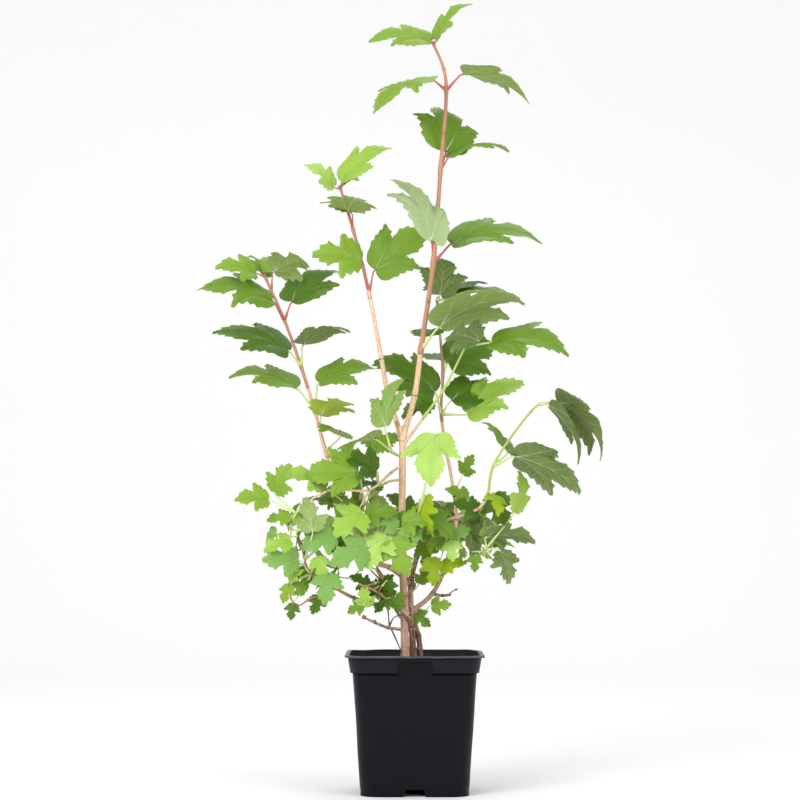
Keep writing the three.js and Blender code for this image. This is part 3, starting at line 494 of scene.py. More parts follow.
def noise_field(tree, place, size, detail=2):
    """A noise with lumps of a size in millimetres."""
    field = tree.nodes.new("ShaderNodeTexNoise")
    set_inputs(field, Scale=1000 / size, Detail=detail)
    tree.links.new(place.outputs["Object"], field.inputs["Vector"])
    return field.outputs["Fac"]


def surface(name, colour, roughness, fine, depth, spread=0.08, specular=0.5, subsurface=0, coarse=0):
    """A plain base colour whose roughness varies and whose fine relief comes from noise. fine and coarse
    are the sizes in millimetres of the noise, depth is the relief's height in millimetres."""
    material = bpy.data.materials.new(name)
    material.use_nodes = True
    tree = material.node_tree
    shader = tree.nodes["Principled BSDF"]
    set_inputs(shader, Base_Color=linear(colour), Specular_IOR_Level=specular, Subsurface_Weight=subsurface,
               Subsurface_Radius=(1, 1, 0.4), Subsurface_Scale=0.004)
    place = tree.nodes.new("ShaderNodeTexCoord")
    bump = tree.nodes.new("ShaderNodeBump")
    set_inputs(bump, Distance=depth * MM, Strength=1)
    tree.links.new(noise_field(tree, place, fine, detail=4), bump.inputs["Height"])
    tree.links.new(bump.outputs["Normal"], shader.inputs["Normal"])
    span = tree.nodes.new("ShaderNodeMapRange")
    set_inputs(span, From_Min=0.3, From_Max=0.7, To_Min=roughness - spread, To_Max=roughness + spread)
    tree.links.new(noise_field(tree, place, coarse or 8 * fine), span.inputs["Value"])
    tree.links.new(span.outputs["Result"], shader.inputs["Roughness"])
    return material


# Upper side, underside and veins of each tint of leaf. The deep tint is partly the leaves' own darker green
# and partly painted shade, given to leaves that sit in the crown's shade.
TINTS = {
    "deep": ("406818", "687f48", "a9bd80"),
    "mid": ("628824", "88a15a", "bccf8a"),
    "fresh": ("789d2e", "92b45c", "c8d89c"),
    "light": ("91b844", "aac576", "d4e4aa"),
    "lime": ("93af1c", "a6c040", "d2e184"),
    "bright": ("a3c85e", "b6d580", "dcedb2"),
    "cool": ("74a04a", "a9bf8a", "ccdfb4"),
}
# Each bark's shades: its own, a lighter one, a darker one and that of its scars, then the first three again
# pinker and darker for the bark low down, below the heights in the next table: the pinker tone is the bark's
# own, and the darkening is partly painted shade under the low crown.
BARKS = {
    "tan": ("dfbb98", "e9ceb0", "cca685", "84593f", "c09680", "cca892", "ac8470"),
    "old": ("ab8a74", "c6a890", "775847", "48352b", "7f6353", "987d69", "563f34"),
}
# Below these heights the bark takes its foot shades, whose darkening is partly painted shade.
FOOT_TONE_AND_SHADE_TOPS = {"tan": 262, "old": 190}
SHOOTS = {"pink": "b98468", "tan": "e0b593", "brown": "a88360", "dead": "6e5647", "green": "b2c062"}
PETIOLES = {"red": "bd675c", "green": "c6d98c"}


def blended(code, other, share):
    """The colour that is so much of the way from one to the other."""
    ends = [[int(c[i:i + 2], 16) for i in (0, 2, 4)] for c in (code, other)]
    return "".join(f"{round(a + (b - a) * share):02x}" for a, b in zip(*ends))


def leaf_skin(name, colour, rough):
    return surface(name, colour, rough, fine=2.6, depth=0.3, specular=0.25, subsurface=0.12, coarse=9)


VEIN_SHARE = 0.3  # how far a vein above has its own colour and not the blade's
LEAF_SKINS = {
    tint: (leaf_skin(f"leaf_{tint}", top, 0.5), leaf_skin(f"underleaf_{tint}", under, 0.65),
           leaf_skin(f"vein_{tint}", blended(top, vein, VEIN_SHARE), 0.5),
           leaf_skin(f"undervein_{tint}", vein, 0.55))
    for tint, (top, under, vein) in TINTS.items()
}


# ---------------------------------------------------------------- the leaf's outline
# The right half of a blade as three arcs, as shares of its length, across and then along: from the petiole
# to the side lobe's tip, on to the notch, and from there to the middle lobe's tip. teeth says for each arc
# how many smooth steps come before its teeth, the share of the arc that they take, and how many teeth
# follow. rows is the number of faces from a main vein out to the rim, and ribs whether every side vein has
# a rib above too.
LAYOUTS = {
    "long": dict(
        outer=[(0.0, 0.0), (0.09, -0.035), (0.22, -0.025), (0.32, 0.07), (0.39, 0.24), (0.45, 0.4),
               (0.52, 0.56)],
        inner=[(0.52, 0.56), (0.42, 0.555), (0.3, 0.53), (0.19, 0.46)],
        middle=[(0.19, 0.46), (0.24, 0.58), (0.25, 0.7), (0.16, 0.86), (0.0, 1.0)],
        teeth=dict(outer=(6, 0.5, 4), inner=(2, 0.35, 2), middle=(3, 0.22, 4)),
        side_vein=[(0, 0), (0.15, 0.22), (0.36, 0.42), (0.5, 0.54)], tooth=0.027, rows=6, ribs=True),
    "small": dict(
        outer=[(0.0, 0.0), (0.1, -0.045), (0.25, -0.02), (0.35, 0.1), (0.43, 0.25), (0.53, 0.42)],
        inner=[(0.53, 0.42), (0.42, 0.47), (0.3, 0.45), (0.17, 0.38)],
        middle=[(0.17, 0.38), (0.22, 0.52), (0.29, 0.68), (0.17, 0.84), (0.0, 1.0)],
        teeth=dict(outer=(4, 0.34, 3), inner=(2, 0.4, 1), middle=(2, 0.25, 3)),
        side_vein=[(0, 0), (0.15, 0.16), (0.34, 0.31), (0.5, 0.41)], tooth=0.05, rows=4, ribs=False),
}
SMALL = 62  # blades up to this length have the small kind's outline
THICKNESS = 0.35
# The veins' ribs: which way they stand, on which skin, and their half width and height as shares of length.
RIBS = ((1, 0, 0.0045, 0.0012), (-1, -1, 0.0085, 0.0055))
RIB_SINK = 0.0006
VEIN_WEIGHTS = dict(main=1.0, side=0.8, fine=0.45)
VEIN_END = 0.97  # how far out the main and side veins reach
PLAIN_VEINS = (3, 5)  # the steps before the outer arc's teeth where a fine vein ends
TOOTH = dict(peak=0.72, notch=-0.35)  # where in its width a tooth stands out most, and how deep it starts
# Where the rows of faces start on the veins: the share of the outer arc whose rows all start at the petiole,
# how far along the side vein they reach, and the power by which each arc's rows draw together.
ANCHORS = dict(lag=0.12, reach=0.96, outer=1.1, inner=0.8, middle=1.25)


def along_path(path, share):
    """Points of a smooth path through a few given ones, at shares of its length."""
    path = np.asarray(path, float)
    steps = np.concatenate([[0], np.cumsum(np.linalg.norm(np.diff(path, axis=0), axis=1))])
    at = np.interp(np.asarray(share) * steps[-1], steps, np.arange(len(path)))
    nodes = [(x, y, 0) for x, y in path]
    return np.array([curve_point(nodes, a)[:2] for a in np.atleast_1d(at)])


def arc_shares(kind, plan):
    """Places along an arc, with how far each stands out as a tooth and whether a side vein ends there."""
    smooth, until, teeth = plan
    shares = [until * i / smooth for i in range(smooth)]
    out = [0.0] * smooth
    veins = [kind == "outer" and i in PLAIN_VEINS for i in range(smooth)]
    for tooth in range(teeth):
        start = until + (1 - until) * tooth / teeth
        width = (1 - until) / teeth
        shares += [start, start + TOOTH["peak"] * width]
        out += [TOOTH["notch"], 1.0]
        veins += [False, True]
    return np.array(shares + [1.0]), np.array(out + [0.0]), np.array(veins + [False])


def half_layout(layout):
    """The right half's strips, each a grid of flat points from a main vein out to the rim."""
    strips = []
    for kind in ("outer", "inner", "middle"):
        path = layout[kind]
        shares, out, veins = arc_shares(kind, layout["teeth"][kind])
        rim = along_path(path, shares)
        after, before = np.clip(shares + 0.02, 0, 1), np.clip(shares - 0.02, 0, 1)
        ahead = along_path(path, after) - along_path(path, before)
        outward = np.stack([ahead[:, 1], -ahead[:, 0]], 1) / np.linalg.norm(ahead, axis=1)[:, None]
        # where each row of faces starts: on the side vein, or for the middle arc on the main one
        if kind == "outer":
            along = np.clip((shares - ANCHORS["lag"]) / (1 - ANCHORS["lag"]), 0, 1)
            anchors = along_path(layout["side_vein"], along ** ANCHORS["outer"] * ANCHORS["reach"])
        elif kind == "inner":
            along = (1 - shares) ** ANCHORS["inner"]
            anchors = along_path(layout["side_vein"], along * ANCHORS["reach"])
        else:
            anchors = np.stack([0 * shares, 0.02 + 0.95 * shares ** ANCHORS["middle"]], 1)
        numbers = np.flatnonzero(np.concatenate([[True], veins[1:-1], [True]]))
        lift = np.array([bulge_between(numbers, i) for i in range(len(shares))])
        strips.append(dict(rim=rim, out=out * layout["tooth"], outward=outward, anchors=anchors,
                           veins=veins, lift=lift, rows=layout["rows"]))
    return strips


def bulge_between(lines, i):
    """How far point i bulges up between the side veins, from 0 on a vein to 1 midway."""
    before, after = lines[lines <= i].max(), lines[lines >= i].min()
    if before == after:
        return 0.0
    share = (i - before) / (after - before)
    return math.sin(math.pi * share)


STRIPS = {kind: half_layout(layout) for kind, layout in LAYOUTS.items()}


# ---------------------------------------------------------------- one leaf
# Every blade's arch, fold, cup and bulge between the veins, as shares of its length, and how far along and
# across it the tip's droop and the side lobes' hang begin.
BLADE = dict(arch=0.1, fold=0.2, cup=0.42, bulge=0.022, droop_from=0.6, hang_from=0.2)
RIM_WAVES = {1: 9, -1: 11}  # how fast the rim's waves follow each other along the right and left half
# The spans of what is a blade's own: how slim and spread it is, its teeth, its rim's waves, how its tip
# droops, how it is skewed and twisted.
OWN = dict(slim=(-0.12, 0.12), spread=(-0.06, 0.06), tooth=(0.75, 1.3), wave=(0.015, 0.032), phase=(0, 6.28),
           droop=(0, 0.7), skew=(-0.07, 0.07), twist=(-0.1, 0.1))
HANG = (-0.2, 0.6)  # the span of how each side lobe hangs
EXTRA_FOLD = (-0.06, 0.12)


class Blade:
    """A leaf's blade in its own frame, in shares of its length, with the small differences of its own."""

    def __init__(self, length, draw):
        self.length = length
        self.kind = "small" if length < SMALL else "long"
        self.own = {name: draw.between(*span) for name, span in OWN.items()}
        self.hang = {1: draw.between(*HANG), -1: draw.between(*HANG)}
        self.fold = BLADE["fold"] + draw.between(*EXTRA_FOLD)

    def bend(self, flat, share, lift, mirror):
        """Points of the blade's upper skin from flat ones, share being 0 on a main vein and 1 at the rim."""
        own = self.own
        x, y = flat[..., 0], flat[..., 1]
        middle = np.clip((y - 0.5) * 2, 0, 1)
        x = x * (1 + own["spread"]) * (1 - own["slim"] * (0.25 + 0.35 * middle))
        side = np.abs(x)
        height = 4 * BLADE["arch"] * y * (1 - y) + self.fold * side - BLADE["cup"] * side * side
        tip = np.clip(y - BLADE["droop_from"], 0, 1)
        height = height - own["droop"] * tip ** 2 + own["twist"] * mirror * x * y
        height = height - self.hang[mirror] * np.clip(side - BLADE["hang_from"], 0, 1) ** 2
        height = height + BLADE["bulge"] * lift * np.sin(np.pi * np.clip(share, 0, 1)) ** 0.8
        turn = own["phase"] + RIM_WAVES[mirror] * y + 4 * side
        height = height + own["wave"] * np.sin(turn) * share ** 2
        x = mirror * x + own["skew"] * y * y
        return np.stack([x, y, height], -1)

    def strip(self, strip, mirror):
        """The grid of one strip's points, from the main vein to the rim."""
        share = np.linspace(0, 1, strip["rows"] + 1)
        rim = strip["rim"] + strip["outward"] * (strip["out"] * self.own["tooth"])[:, None]
        flat = strip["anchors"][:, None] * (1 - share)[None, :, None] + rim[:, None] * share[None, :, None]
        return self.bend(flat, share[None, :], strip["lift"][:, None], mirror)


def grid_faces(rows, columns, start):
    corners = [(start + i * columns + k) for i in range(rows - 1) for k in range(columns - 1)]
    return [(a, a + 1, a + columns + 1, a + columns) for a in corners]


def blade_skins(blade):
    """Both skins of a blade, which meet in a thin rim: points, faces and slots, 0 above and 1 below."""
    points, faces, slots = [], [], []
    count = 0
    for mirror in (1, -1):
        for strip in STRIPS[blade.kind]:
            top = blade.strip(strip, mirror)
            rows, columns = top.shape[:2]
            depth = THICKNESS / blade.length * (1 - np.linspace(0, 1, columns) ** 4)
            low = top - np.array([0, 0, 1]) * depth[None, :, None]
            for slot, skin in enumerate((top, low)):
                faces += grid_faces(rows, columns, count)
                slots += [slot] * ((rows - 1) * (columns - 1))
                points.append(skin.reshape(-1, 3))
                count += rows * columns
    return np.concatenate(points), faces, slots


def vein_lines(blade):
    """The lines of a blade's veins on its upper skin, each with its weight."""
    lines = [(vein_line(blade, [(0, 0), (0, 0.5), (0, 1)], 1), VEIN_WEIGHTS["main"])]
    for mirror in (1, -1):
        lines.append((vein_line(blade, LAYOUTS[blade.kind]["side_vein"], mirror), VEIN_WEIGHTS["side"]))
        for strip in STRIPS[blade.kind]:
            grid = blade.strip(strip, mirror)
            lines += [(grid[i, :-1], VEIN_WEIGHTS["fine"]) for i in np.flatnonzero(strip["veins"])]
    return lines


def vein_line(blade, path, mirror):
    flat = along_path(path, np.linspace(0, VEIN_END, 9))
    return blade.bend(flat, np.zeros(len(flat)), np.zeros(len(flat)), mirror)


def vein_ribs(blade):
    """Three-sided ribs along the vein lines, low on the upper skin and higher on the underside."""
    points, faces, slots = [], [], []
    count = 0
    for line, weight in vein_lines(blade):
        side = np.cross(np.gradient(line, axis=0), [0, 0, 1])
        side /= np.maximum(np.linalg.norm(side, axis=1), 1e-9)[:, None]
        taper = np.linspace(1, 0.3, len(line))[:, None] * weight
        for slot, (way, level, width, height) in enumerate(RIBS):
            if slot == 0 and weight == VEIN_WEIGHTS["fine"] and not LAYOUTS[blade.kind]["ribs"]:
                continue
            base = line + np.array([0, 0, level * THICKNESS / blade.length - way * RIB_SINK])
            top = base + np.array([0, 0, way]) * (height * taper + RIB_SINK)
            rib = np.stack([base - side * width * taper, base + side * width * taper, top], 1)
            points.append(rib.reshape(-1, 3))
            starts = [count + 3 * i for i in range(len(line) - 1)]
            quads = [q for a in starts for q in ((a, a + 2, a + 5, a + 3), (a + 2, a + 1, a + 4, a + 5))]
            faces += quads if way > 0 else [q[::-1] for q in quads]
            slots += [slot] * len(quads)
            count += 3 * len(line)
    return np.concatenate(points), faces, slots


def leaf_frame(foot, row):
    _, heading, rise, stalk, aim, pitch, roll = row[:7]
    base = foot + direction(heading, rise) * stalk
    forward = direction(aim, pitch)
    up = turned(direction(aim, pitch + 90), forward, roll)
    return base, np.cross(forward, up), forward, up


def add_petiole(heap, foot, row, base, forward, length):
    """A petiole that leaves the stem as its row says and bends into the blade, thicker at both ends."""
    reach = np.linalg.norm(base - foot)
    start = direction(row[1], row[2])
    share = np.linspace(0, 1, 9)[:, None]
    bend = (foot + start * 0.5 * reach, base - forward * min(5, 0.3 * reach))
    line = ((1 - share) ** 3 * foot + 3 * (1 - share) ** 2 * share * bend[0]
            + 3 * (1 - share) * share ** 2 * bend[1] + share ** 3 * base)
    size = STALK["radius"] + STALK["per_length"] * length
    swell = 1
    for ends, (height, width) in ((share, STALK["foot"]), (1 - share, STALK["end"])):
        swell = swell + height * np.exp(-(ends[:, 0] / width) ** 2)
    add_tube(heap, line, size * swell, STALK["sides"])


# ---------------------------------------------------------------- the growing plant
SHOOT_HEAPS = {colour: Heap() for colour in SHOOTS}
PETIOLE_HEAPS = {colour: Heap() for colour in PETIOLES}
LEAF_HEAPS = {tint: Heap() for tint in TINTS}
VEIN_HEAPS = {tint: Heap() for tint in TINTS}
BUD_HEAP = Heap()
CROWD = []  # the middles of the blades so far
looks = Draw(2024)  # for what has no part in the plant's shape


def add_leaf(name, foot, row, tint, petiole):
    """A whole leaf: its petiole, its blade's two skins and its veins."""
    length = row[7]
    base, side, forward, up = leaf_frame(foot, row)
    blade = Blade(length, looks)

    def placed(points):
        return base + length * (points[:, :1] * side + points[:, 1:2] * forward + points[:, 2:3] * up)

    points, faces, slots = blade_skins(blade)
    LEAF_HEAPS[tint].add(placed(points), faces, slots)
    if name:
        LEAF_HEAPS[tint].nodes.add(name)
    points, faces, slots = vein_ribs(blade)
    VEIN_HEAPS[tint].add(placed(points), faces, slots)
    add_petiole(PETIOLE_HEAPS[petiole], foot, row, base, forward, length)
    CROWD.append(base + forward * 0.5 * length)


class Grown:
    """What a CAD mass really holds: a leaf or twig that its rule skipped isn't at its place."""

    def __init__(self, name):
        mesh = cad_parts[name].data
        points = [v.co for v in mesh.vertices]
        self.tree = BVHTree.FromPolygons(points, [tuple(p.vertices) for p in mesh.polygons])

    def has(self, point, within=1.2):
        return self.tree.find_nearest(tuple(point * MM))[3] < within * MM


def blade_tip(foot, row):
    return foot + direction(row[1], row[2]) * row[3] + direction(row[4], row[5]) * row[7]


def roll_to(wish, heading, pitch):
    """The roll that turns a blade's upper face nearest to a wished way."""
    up = direction(heading, pitch + 90)
    side = np.cross(direction(heading, pitch), up)
    return math.degrees(math.atan2(np.dot(wish, side), np.dot(wish, up)))


def outwards(place):
    """Where the small leaves' upper faces wish to turn: away from the middle of the plant, and upwards."""
    return unit(np.array([place[0], place[1], 0])) * FACING[0] + np.array([0, 0, FACING[1]])


def angles_of(way):
    return math.degrees(math.atan2(way[1], way[0])), math.degrees(math.asin(way[2] / np.linalg.norm(way)))


def front_row(foot, row):
    """A front leaf's row, written as the other leaves' rows are."""
    node, x, y, z, way, lean, turn, length = row
    reach = np.array([x, y, z]) - foot
    lean = math.radians(lean)
    forward = direction(0, way) * math.cos(lean) - np.array([0, math.sin(lean), 0])
    face = turned(np.array([0.0, -1, 0]), forward, turn)
    angles = angles_of(forward)
    return (node, *angles_of(reach), np.linalg.norm(reach), *angles, roll_to(face, *angles), length)


def sprig_twigs(limb, mass, draw, joints, scale=1.0):
    """The side twigs of a sprig, in opposite pairs, each with its foot, tip and three leaves' rows."""
    for joint in range(joints):
        node = mass["start"] + (mass["end"] - mass["start"]) * (joint + PAIR_PLACE) / joints
        turn = 90 * joint + draw.between(*SPRIG["pair_turn"])
        for side in (0, 180):
            heading = turn + side + draw.between(*SPRIG["twig_turn"])
            way = direction(heading, draw.between(*SPRIG["twig_rise"]))
            foot = node_at(limb, node)
            tip = foot + way * draw.between(*mass["twig"])
            rows = []
            for off in SPRIG["offsets"]:
                size = draw.between(*mass["blade"]) * scale
                aim = heading + off + draw.between(*SPRIG["aim"])
                blade_aim = aim + draw.between(*SPRIG["blade_aim"])
                pitch = draw.between(*SPRIG["pitch"])
                roll = roll_to(outwards(tip), blade_aim, pitch) + draw.between(*SPRIG["roll"])
                rise = draw.between(*SPRIG["rise"])
                stalk = size * draw.between(*SPRIG["stalk"])
                rows.append((0, aim, rise, stalk, blade_aim, pitch, roll, size))
            yield foot, tip, rows


def in_space(space, point):
    return np.linalg.norm((point - np.array(space[0])) / np.array(space[1])) < 1


def grow_sprig(name, mass, grown):
    """The twigs and leaves that the CAD mass has, by the same draws."""
    twigs = sprig_twigs(limb_of(name), mass, Draw(mass["seed"]), mass["joints"])
    for number, (foot, tip, rows) in enumerate(twigs):
        if not in_space(mass["space"], tip) or not grown.has(tip):
            continue
        add_tube(SHOOT_HEAPS[mass["shoot"]], [foot, (foot + tip) / 2, tip], TWIG_RADII, 8)
        tint = mass["tints"][number % len(mass["tints"])]
        for row in rows:
            end = blade_tip(tip, row)
            if in_space(mass["space"], end) and grown.has(end):
                add_leaf(name, tip, row, tint, mass.get("petiole", "green"))


# The finer twigs: what is added to the seed, how many times more of them, their leaves' scale, and the least
# gap between the middles of two blades as a share of the new one's length.
FINER = dict(seed=1000, joints=3, scale=0.8, gap=0.42)


def grow_finer(name, mass):
    """Finer twigs by the same rule within the same space, with smaller leaves where there is room."""
    draw = Draw(mass["seed"] + FINER["seed"])
    twigs = sprig_twigs(limb_of(name), mass, draw, mass["joints"] * FINER["joints"], FINER["scale"])
    for number, (foot, tip, rows) in enumerate(twigs):
        if not in_space(mass["space"], tip):
            continue
        room = [row for row in rows if has_room(mass["space"], tip, row)]
        if room:
            add_tube(SHOOT_HEAPS[mass["shoot"]], [foot, (foot + tip) / 2, tip], FINE_TWIG_RADII, 6)
        tint = mass["tints"][(number + 1) % len(mass["tints"])]
        for row in room:
            add_leaf(name, tip, row, tint, mass.get("petiole", "green"))


def has_room(space, foot, row):
    middle = foot + direction(row[1], row[2]) * row[3] + direction(row[4], row[5]) * row[7] / 2
    gap = min(np.linalg.norm(middle - other) for other in CROWD)
    return in_space(space, blade_tip(foot, row)) and gap > FINER["gap"] * row[7]


NODE_STEPS = 14  # rings of a stem from one node to the next
NODE_SWELL = 0.35
BUD_PROFILE = ((-0.4, 0.8), (0.6, 1.0), (1.7, 0.75), (2.9, 0.12))  # places along it and radii there


def grow_shoot(heap, limb, start, end):
    """A mass's stem with a swelling at each node."""
    steps = max(4, int((end - start) * NODE_STEPS))
    places = [start + (end - start) * i / steps for i in range(steps + 1)]
    swells = [1 + NODE_SWELL * math.exp(-((p - round(p)) * NODE_STEPS) ** 2) for p in places]
    radii = [girth_at(limb, p) * swell for p, swell in zip(places, swells)]
    add_tube(heap, [node_at(limb, p) for p in places], radii, 10)


def bud(place, way, size=1.0):
    """A small pointed bud."""
    centres = [place + way * along * size for along, _ in BUD_PROFILE]
    add_tube(BUD_HEAP, centres, [radius * size for _, radius in BUD_PROFILE], 6)


def axil_bud(limb, row):
    """A bud in the angle between a leaf's petiole and its stem."""
    stem = way_at(limb, row[0])
    out = unit(direction(row[1], row[2]) + 0.6 * stem)
    bud(node_at(limb, row[0]) + out * girth_at(limb, row[0]) + stem * 1.2, unit(out + 0.7 * stem))


def grow_lone_leaves():
    for name, (*row, tint), petiole in LONE_LEAVES:
        foot = node_at(LIMBS[name], row[0])
        add_leaf(None, foot, front_row(foot, row), tint, petiole)


def grow_fine_twigs():
    for colour, (foot, tip), ends_in_bud, points in FINE_TWIGS:
        last = len(points) - 1
        shares = np.linspace(0, 1, 4 * last + 1)
        line = [curve_point(points, last * share) for share in shares]
        radii = [(foot + (tip - foot) * share) * (1 + 0.15 * math.sin(9 * share)) for share in shares]
        add_tube(SHOOT_HEAPS[colour], line, radii, 8)
        if ends_in_bud:
            bud(line[-1], unit(line[-1] - line[-2]), 1.3)


def grow_masses():
    for name, mass in MASSES.items():
        limb = limb_of(name)
        heap = SHOOT_HEAPS[mass["shoot"]]
        heap.nodes.add(name)
        grow_shoot(heap, limb, mass["start"], mass["end"])
        grown = Grown(name)
        laid = [(*front_row(node_at(limb, row[0]), row[:-1]), row[-1]) for row in mass.get("front", [])]
        for *row, tint in mass.get("leaves", []) + laid:
            foot = node_at(limb, row[0])
            if grown.has(blade_tip(foot, row)):
                add_leaf(name, foot, row, tint, mass.get("petiole", "green"))
                axil_bud(limb, row)
            else:
                print("skipped", name, row)
        if "seed" in mass:
            grow_sprig(name, mass, grown)
    for name, mass in MASSES.items():
        if "seed" in mass:
            grow_finer(name, mass)


def foliage():
    grow_masses()
    grow_lone_leaves()
    grow_fine_twigs()
    for tint, heap in LEAF_HEAPS.items():
        piece_from(f"leaves_{tint}", heap, LEAF_SKINS[tint][:2], weld=True)
        piece_from(f"veins_{tint}", VEIN_HEAPS[tint], LEAF_SKINS[tint][2:])
    for colour, heap in SHOOT_HEAPS.items():
        look = surface(f"shoot_{colour}", SHOOTS[colour], 0.5, fine=2, depth=0.1)
        piece_from(f"shoots_{colour}", heap, [look])
    for colour, heap in PETIOLE_HEAPS.items():
        look = surface(f"petiole_{colour}", PETIOLES[colour], 0.45, fine=1.5, depth=0.05, subsurface=0.1)
        piece_from(f"petioles_{colour}", heap, [look])
    piece_from("buds", BUD_HEAP, [surface("bud", "8a5a44", 0.55, fine=1, depth=0.05)])


# ---------------------------------------------------------------- bark
# ripple, ridge and scar are heights as shares of the girth, and grain is a ridge's length.
RELIEF = {
    "tan": dict(ripple=0.03, ridge=0.02, grain=9, scar=0.16),
    "old": dict(ripple=0.1, ridge=0.13, grain=6, scar=0.22),
}
RIDGE_WIDTH = 1.6
RIPPLE_WIDTH = 7
BARK_SIDES = 20
BARK_STEP = 1.6  # from ring to ring
SCAR_SPREAD = 0.9  # how far a scar's ring swells the limb, in girths
SCAR_HALF = 0.8  # half the height of its dark line
FOOT_COLLAR = dict(height=0.45, spread=2.2)  # where a limb leaves another, in girths
# The patches of bark's shades: the streaks' width and length, the specks' height and weight, the values below
# and above which a patch is dark or light, and how far the edge of the foot's pinker, darker shades (partly
# painted shade) wanders up and down.
PATCHES = dict(wide=5, long=22, speck=2.5, weight=0.7, dark=-0.26, light=0.2, wander=16)
SCAR_GAPS = -0.25  # a scar's line is left out where its noise is under this


def bark_radii(limb, place, centre):
    """The radius all round at a place on a limb, with ridges, ripples and the scar rings of its nodes."""
    look = RELIEF[limb["bark"]]
    girth = girth_at(limb, place)
    radii = []
    for angle in 2 * np.pi * np.arange(BARK_SIDES) / BARK_SIDES:
        spot = centre + girth * np.array([math.cos(angle), math.sin(angle), 0])
        long_spot = (spot[0] / RIDGE_WIDTH, spot[1] / RIDGE_WIDTH, spot[2] / look["grain"])
        ridge = look["ridge"] * noise.noise(long_spot)
        ripple = look["ripple"] * noise.noise(tuple(spot / RIPPLE_WIDTH))
        radii.append(girth * (1 + (ridge + ripple)))
    foot = np.linalg.norm(node_at(limb, 0) - centre)
    swell = look["scar"] * math.exp(-(from_node(limb, place, centre) / (SCAR_SPREAD * girth)) ** 2)
    if "flare" not in limb:
        swell += FOOT_COLLAR["height"] * math.exp(-((foot / (FOOT_COLLAR["spread"] * girth)) ** 2))
    return np.array(radii) * (1 + swell)


def from_node(limb, place, centre):
    """How far a place on a limb is from its nearest inner node."""
    nearest = round(place)
    if 0 < nearest < len(limb["nodes"]) - 1:
        return np.linalg.norm(node_at(limb, nearest) - centre)
    return 99


def bark_shade(limb, place, centre, side):
    """The number of the shade that one small patch of bark has."""
    if from_node(limb, place, centre) < SCAR_HALF and noise.noise((place * 9, side * 0.9, 3)) > SCAR_GAPS:
        return 3
    wide, wander = PATCHES["wide"], PATCHES["wander"]
    streak = noise.noise((centre[0] / wide + side * 0.7, centre[1] / wide, centre[2] / PATCHES["long"]))
    speck = noise.noise((centre[0] + side * 2.3, centre[1], centre[2] / PATCHES["speck"]))
    value = streak + PATCHES["weight"] * speck
    shade = 2 if value < PATCHES["dark"] else 1 if value > PATCHES["light"] else 0
    # below a wandering height, the foot's pinker, darker shades: the pinker tone is the bark's own, the
    # darkening partly painted shade
    height = centre[2] + wander * noise.noise((side * 0.5, centre[2] / wander, 7))
    return shade + 4 if height < FOOT_TONE_AND_SHADE_TOPS[limb["bark"]] else shade


def grow_bark(heap, limb):
    end = bare_to(limb)
    marks = [node_at(limb, end * i / 20) for i in range(21)]
    reach = sum(np.linalg.norm(b - a) for a, b in zip(marks, marks[1:]))
    steps = int(reach / BARK_STEP)
    places = [end * i / steps for i in range(steps + 1)]
    centres = [node_at(limb, p) for p in places]
    ways = [way_at(limb, p) for p in places]
    radii = [bark_radii(limb, p, c) for p, c in zip(places, centres)]
    shades = [bark_shade(limb, places[r], centres[r], k) for r in range(steps) for k in range(BARK_SIDES)]
    heap.add(tube_rings(centres, ways, radii, BARK_SIDES), tube_faces(steps + 1, BARK_SIDES), shades + [2, 2])


KNOB_SIDES = 12
KNOB_RELIEF = 0.35


def add_knob(heap, place, radius):
    """A rough lump of old wood."""
    levels = np.linspace(-0.5 * math.pi, 0.5 * math.pi, 8)[1:-1]
    rings = []
    for level in levels:
        centre = place + np.array([0, 0, radius * math.sin(level)])
        for turn in 2 * math.pi * np.arange(KNOB_SIDES) / KNOB_SIDES:
            out = radius * math.cos(level) * np.array([math.cos(turn), math.sin(turn), 0])
            rings.append(centre + out * (1 + KNOB_RELIEF * noise.noise(tuple((centre + out) / 2))))
    faces = tube_faces(len(levels), KNOB_SIDES)
    shades = [2 if noise.noise((k * 0.7, radius, 1)) > 0 else 0 for k in range(len(faces))]
    heap.add(np.array(rings), faces, shades)


def bark():
    heaps = {colour: Heap() for colour in BARKS}
    for name, limb in LIMBS.items():
        if bare_to(limb):
            grow_bark(heaps[limb["bark"]], limb)
            heaps[limb["bark"]].nodes.add(name)
    for place, radius in KNOBS:
        add_knob(heaps["old"], np.array(place, float), radius)
    for colour, heap in heaps.items():
        looks = [surface(f"bark_{colour}_{i}", shade, 0.7, fine=1.6, depth=0.3, specular=0.3)
                 for i, shade in enumerate(BARKS[colour])]
        piece_from(f"bark_{colour}", heap, looks)


# ---------------------------------------------------------------- the pot and its soil
POT = dict(height=166.5, wall=1.5, floor=2, corner=22, base_half=65.2, foot_half=64.6, shoulder_half=73.7,
           collar_low_half=76.6, collar_high_half=79.4, lip_half=83, foot_height=9, foot_step=0.6,
           collar_bottom=145.5, collar_step=1, lip_bottom=163.7, lip_step=0.4)
CHANNEL = dict(height=8.5, low_width=27, high_width=21, depth=46)
PANEL = dict(bottom=144, top=160, low_width=45, high_width=37, press=0.6)
CORNER_STEPS = 12
SIDE_STEPS = 16
WALL_STEPS = 8
# The soft lip waves up and down, above its start. The walls bulge, below their top, by the height times how
# many halves a point lies from the middle.
LIP_WAVE = dict(height=1.1, length=26, start=150)
BULGE = dict(height=0.6, length=60, top=150, half=75)
EDGE_RADIUS = 0.35
SHARP_EDGE = 28  # edges that turn by more are rounded
SHARP_SHADE = 35  # and by more than this they are shaded as edges
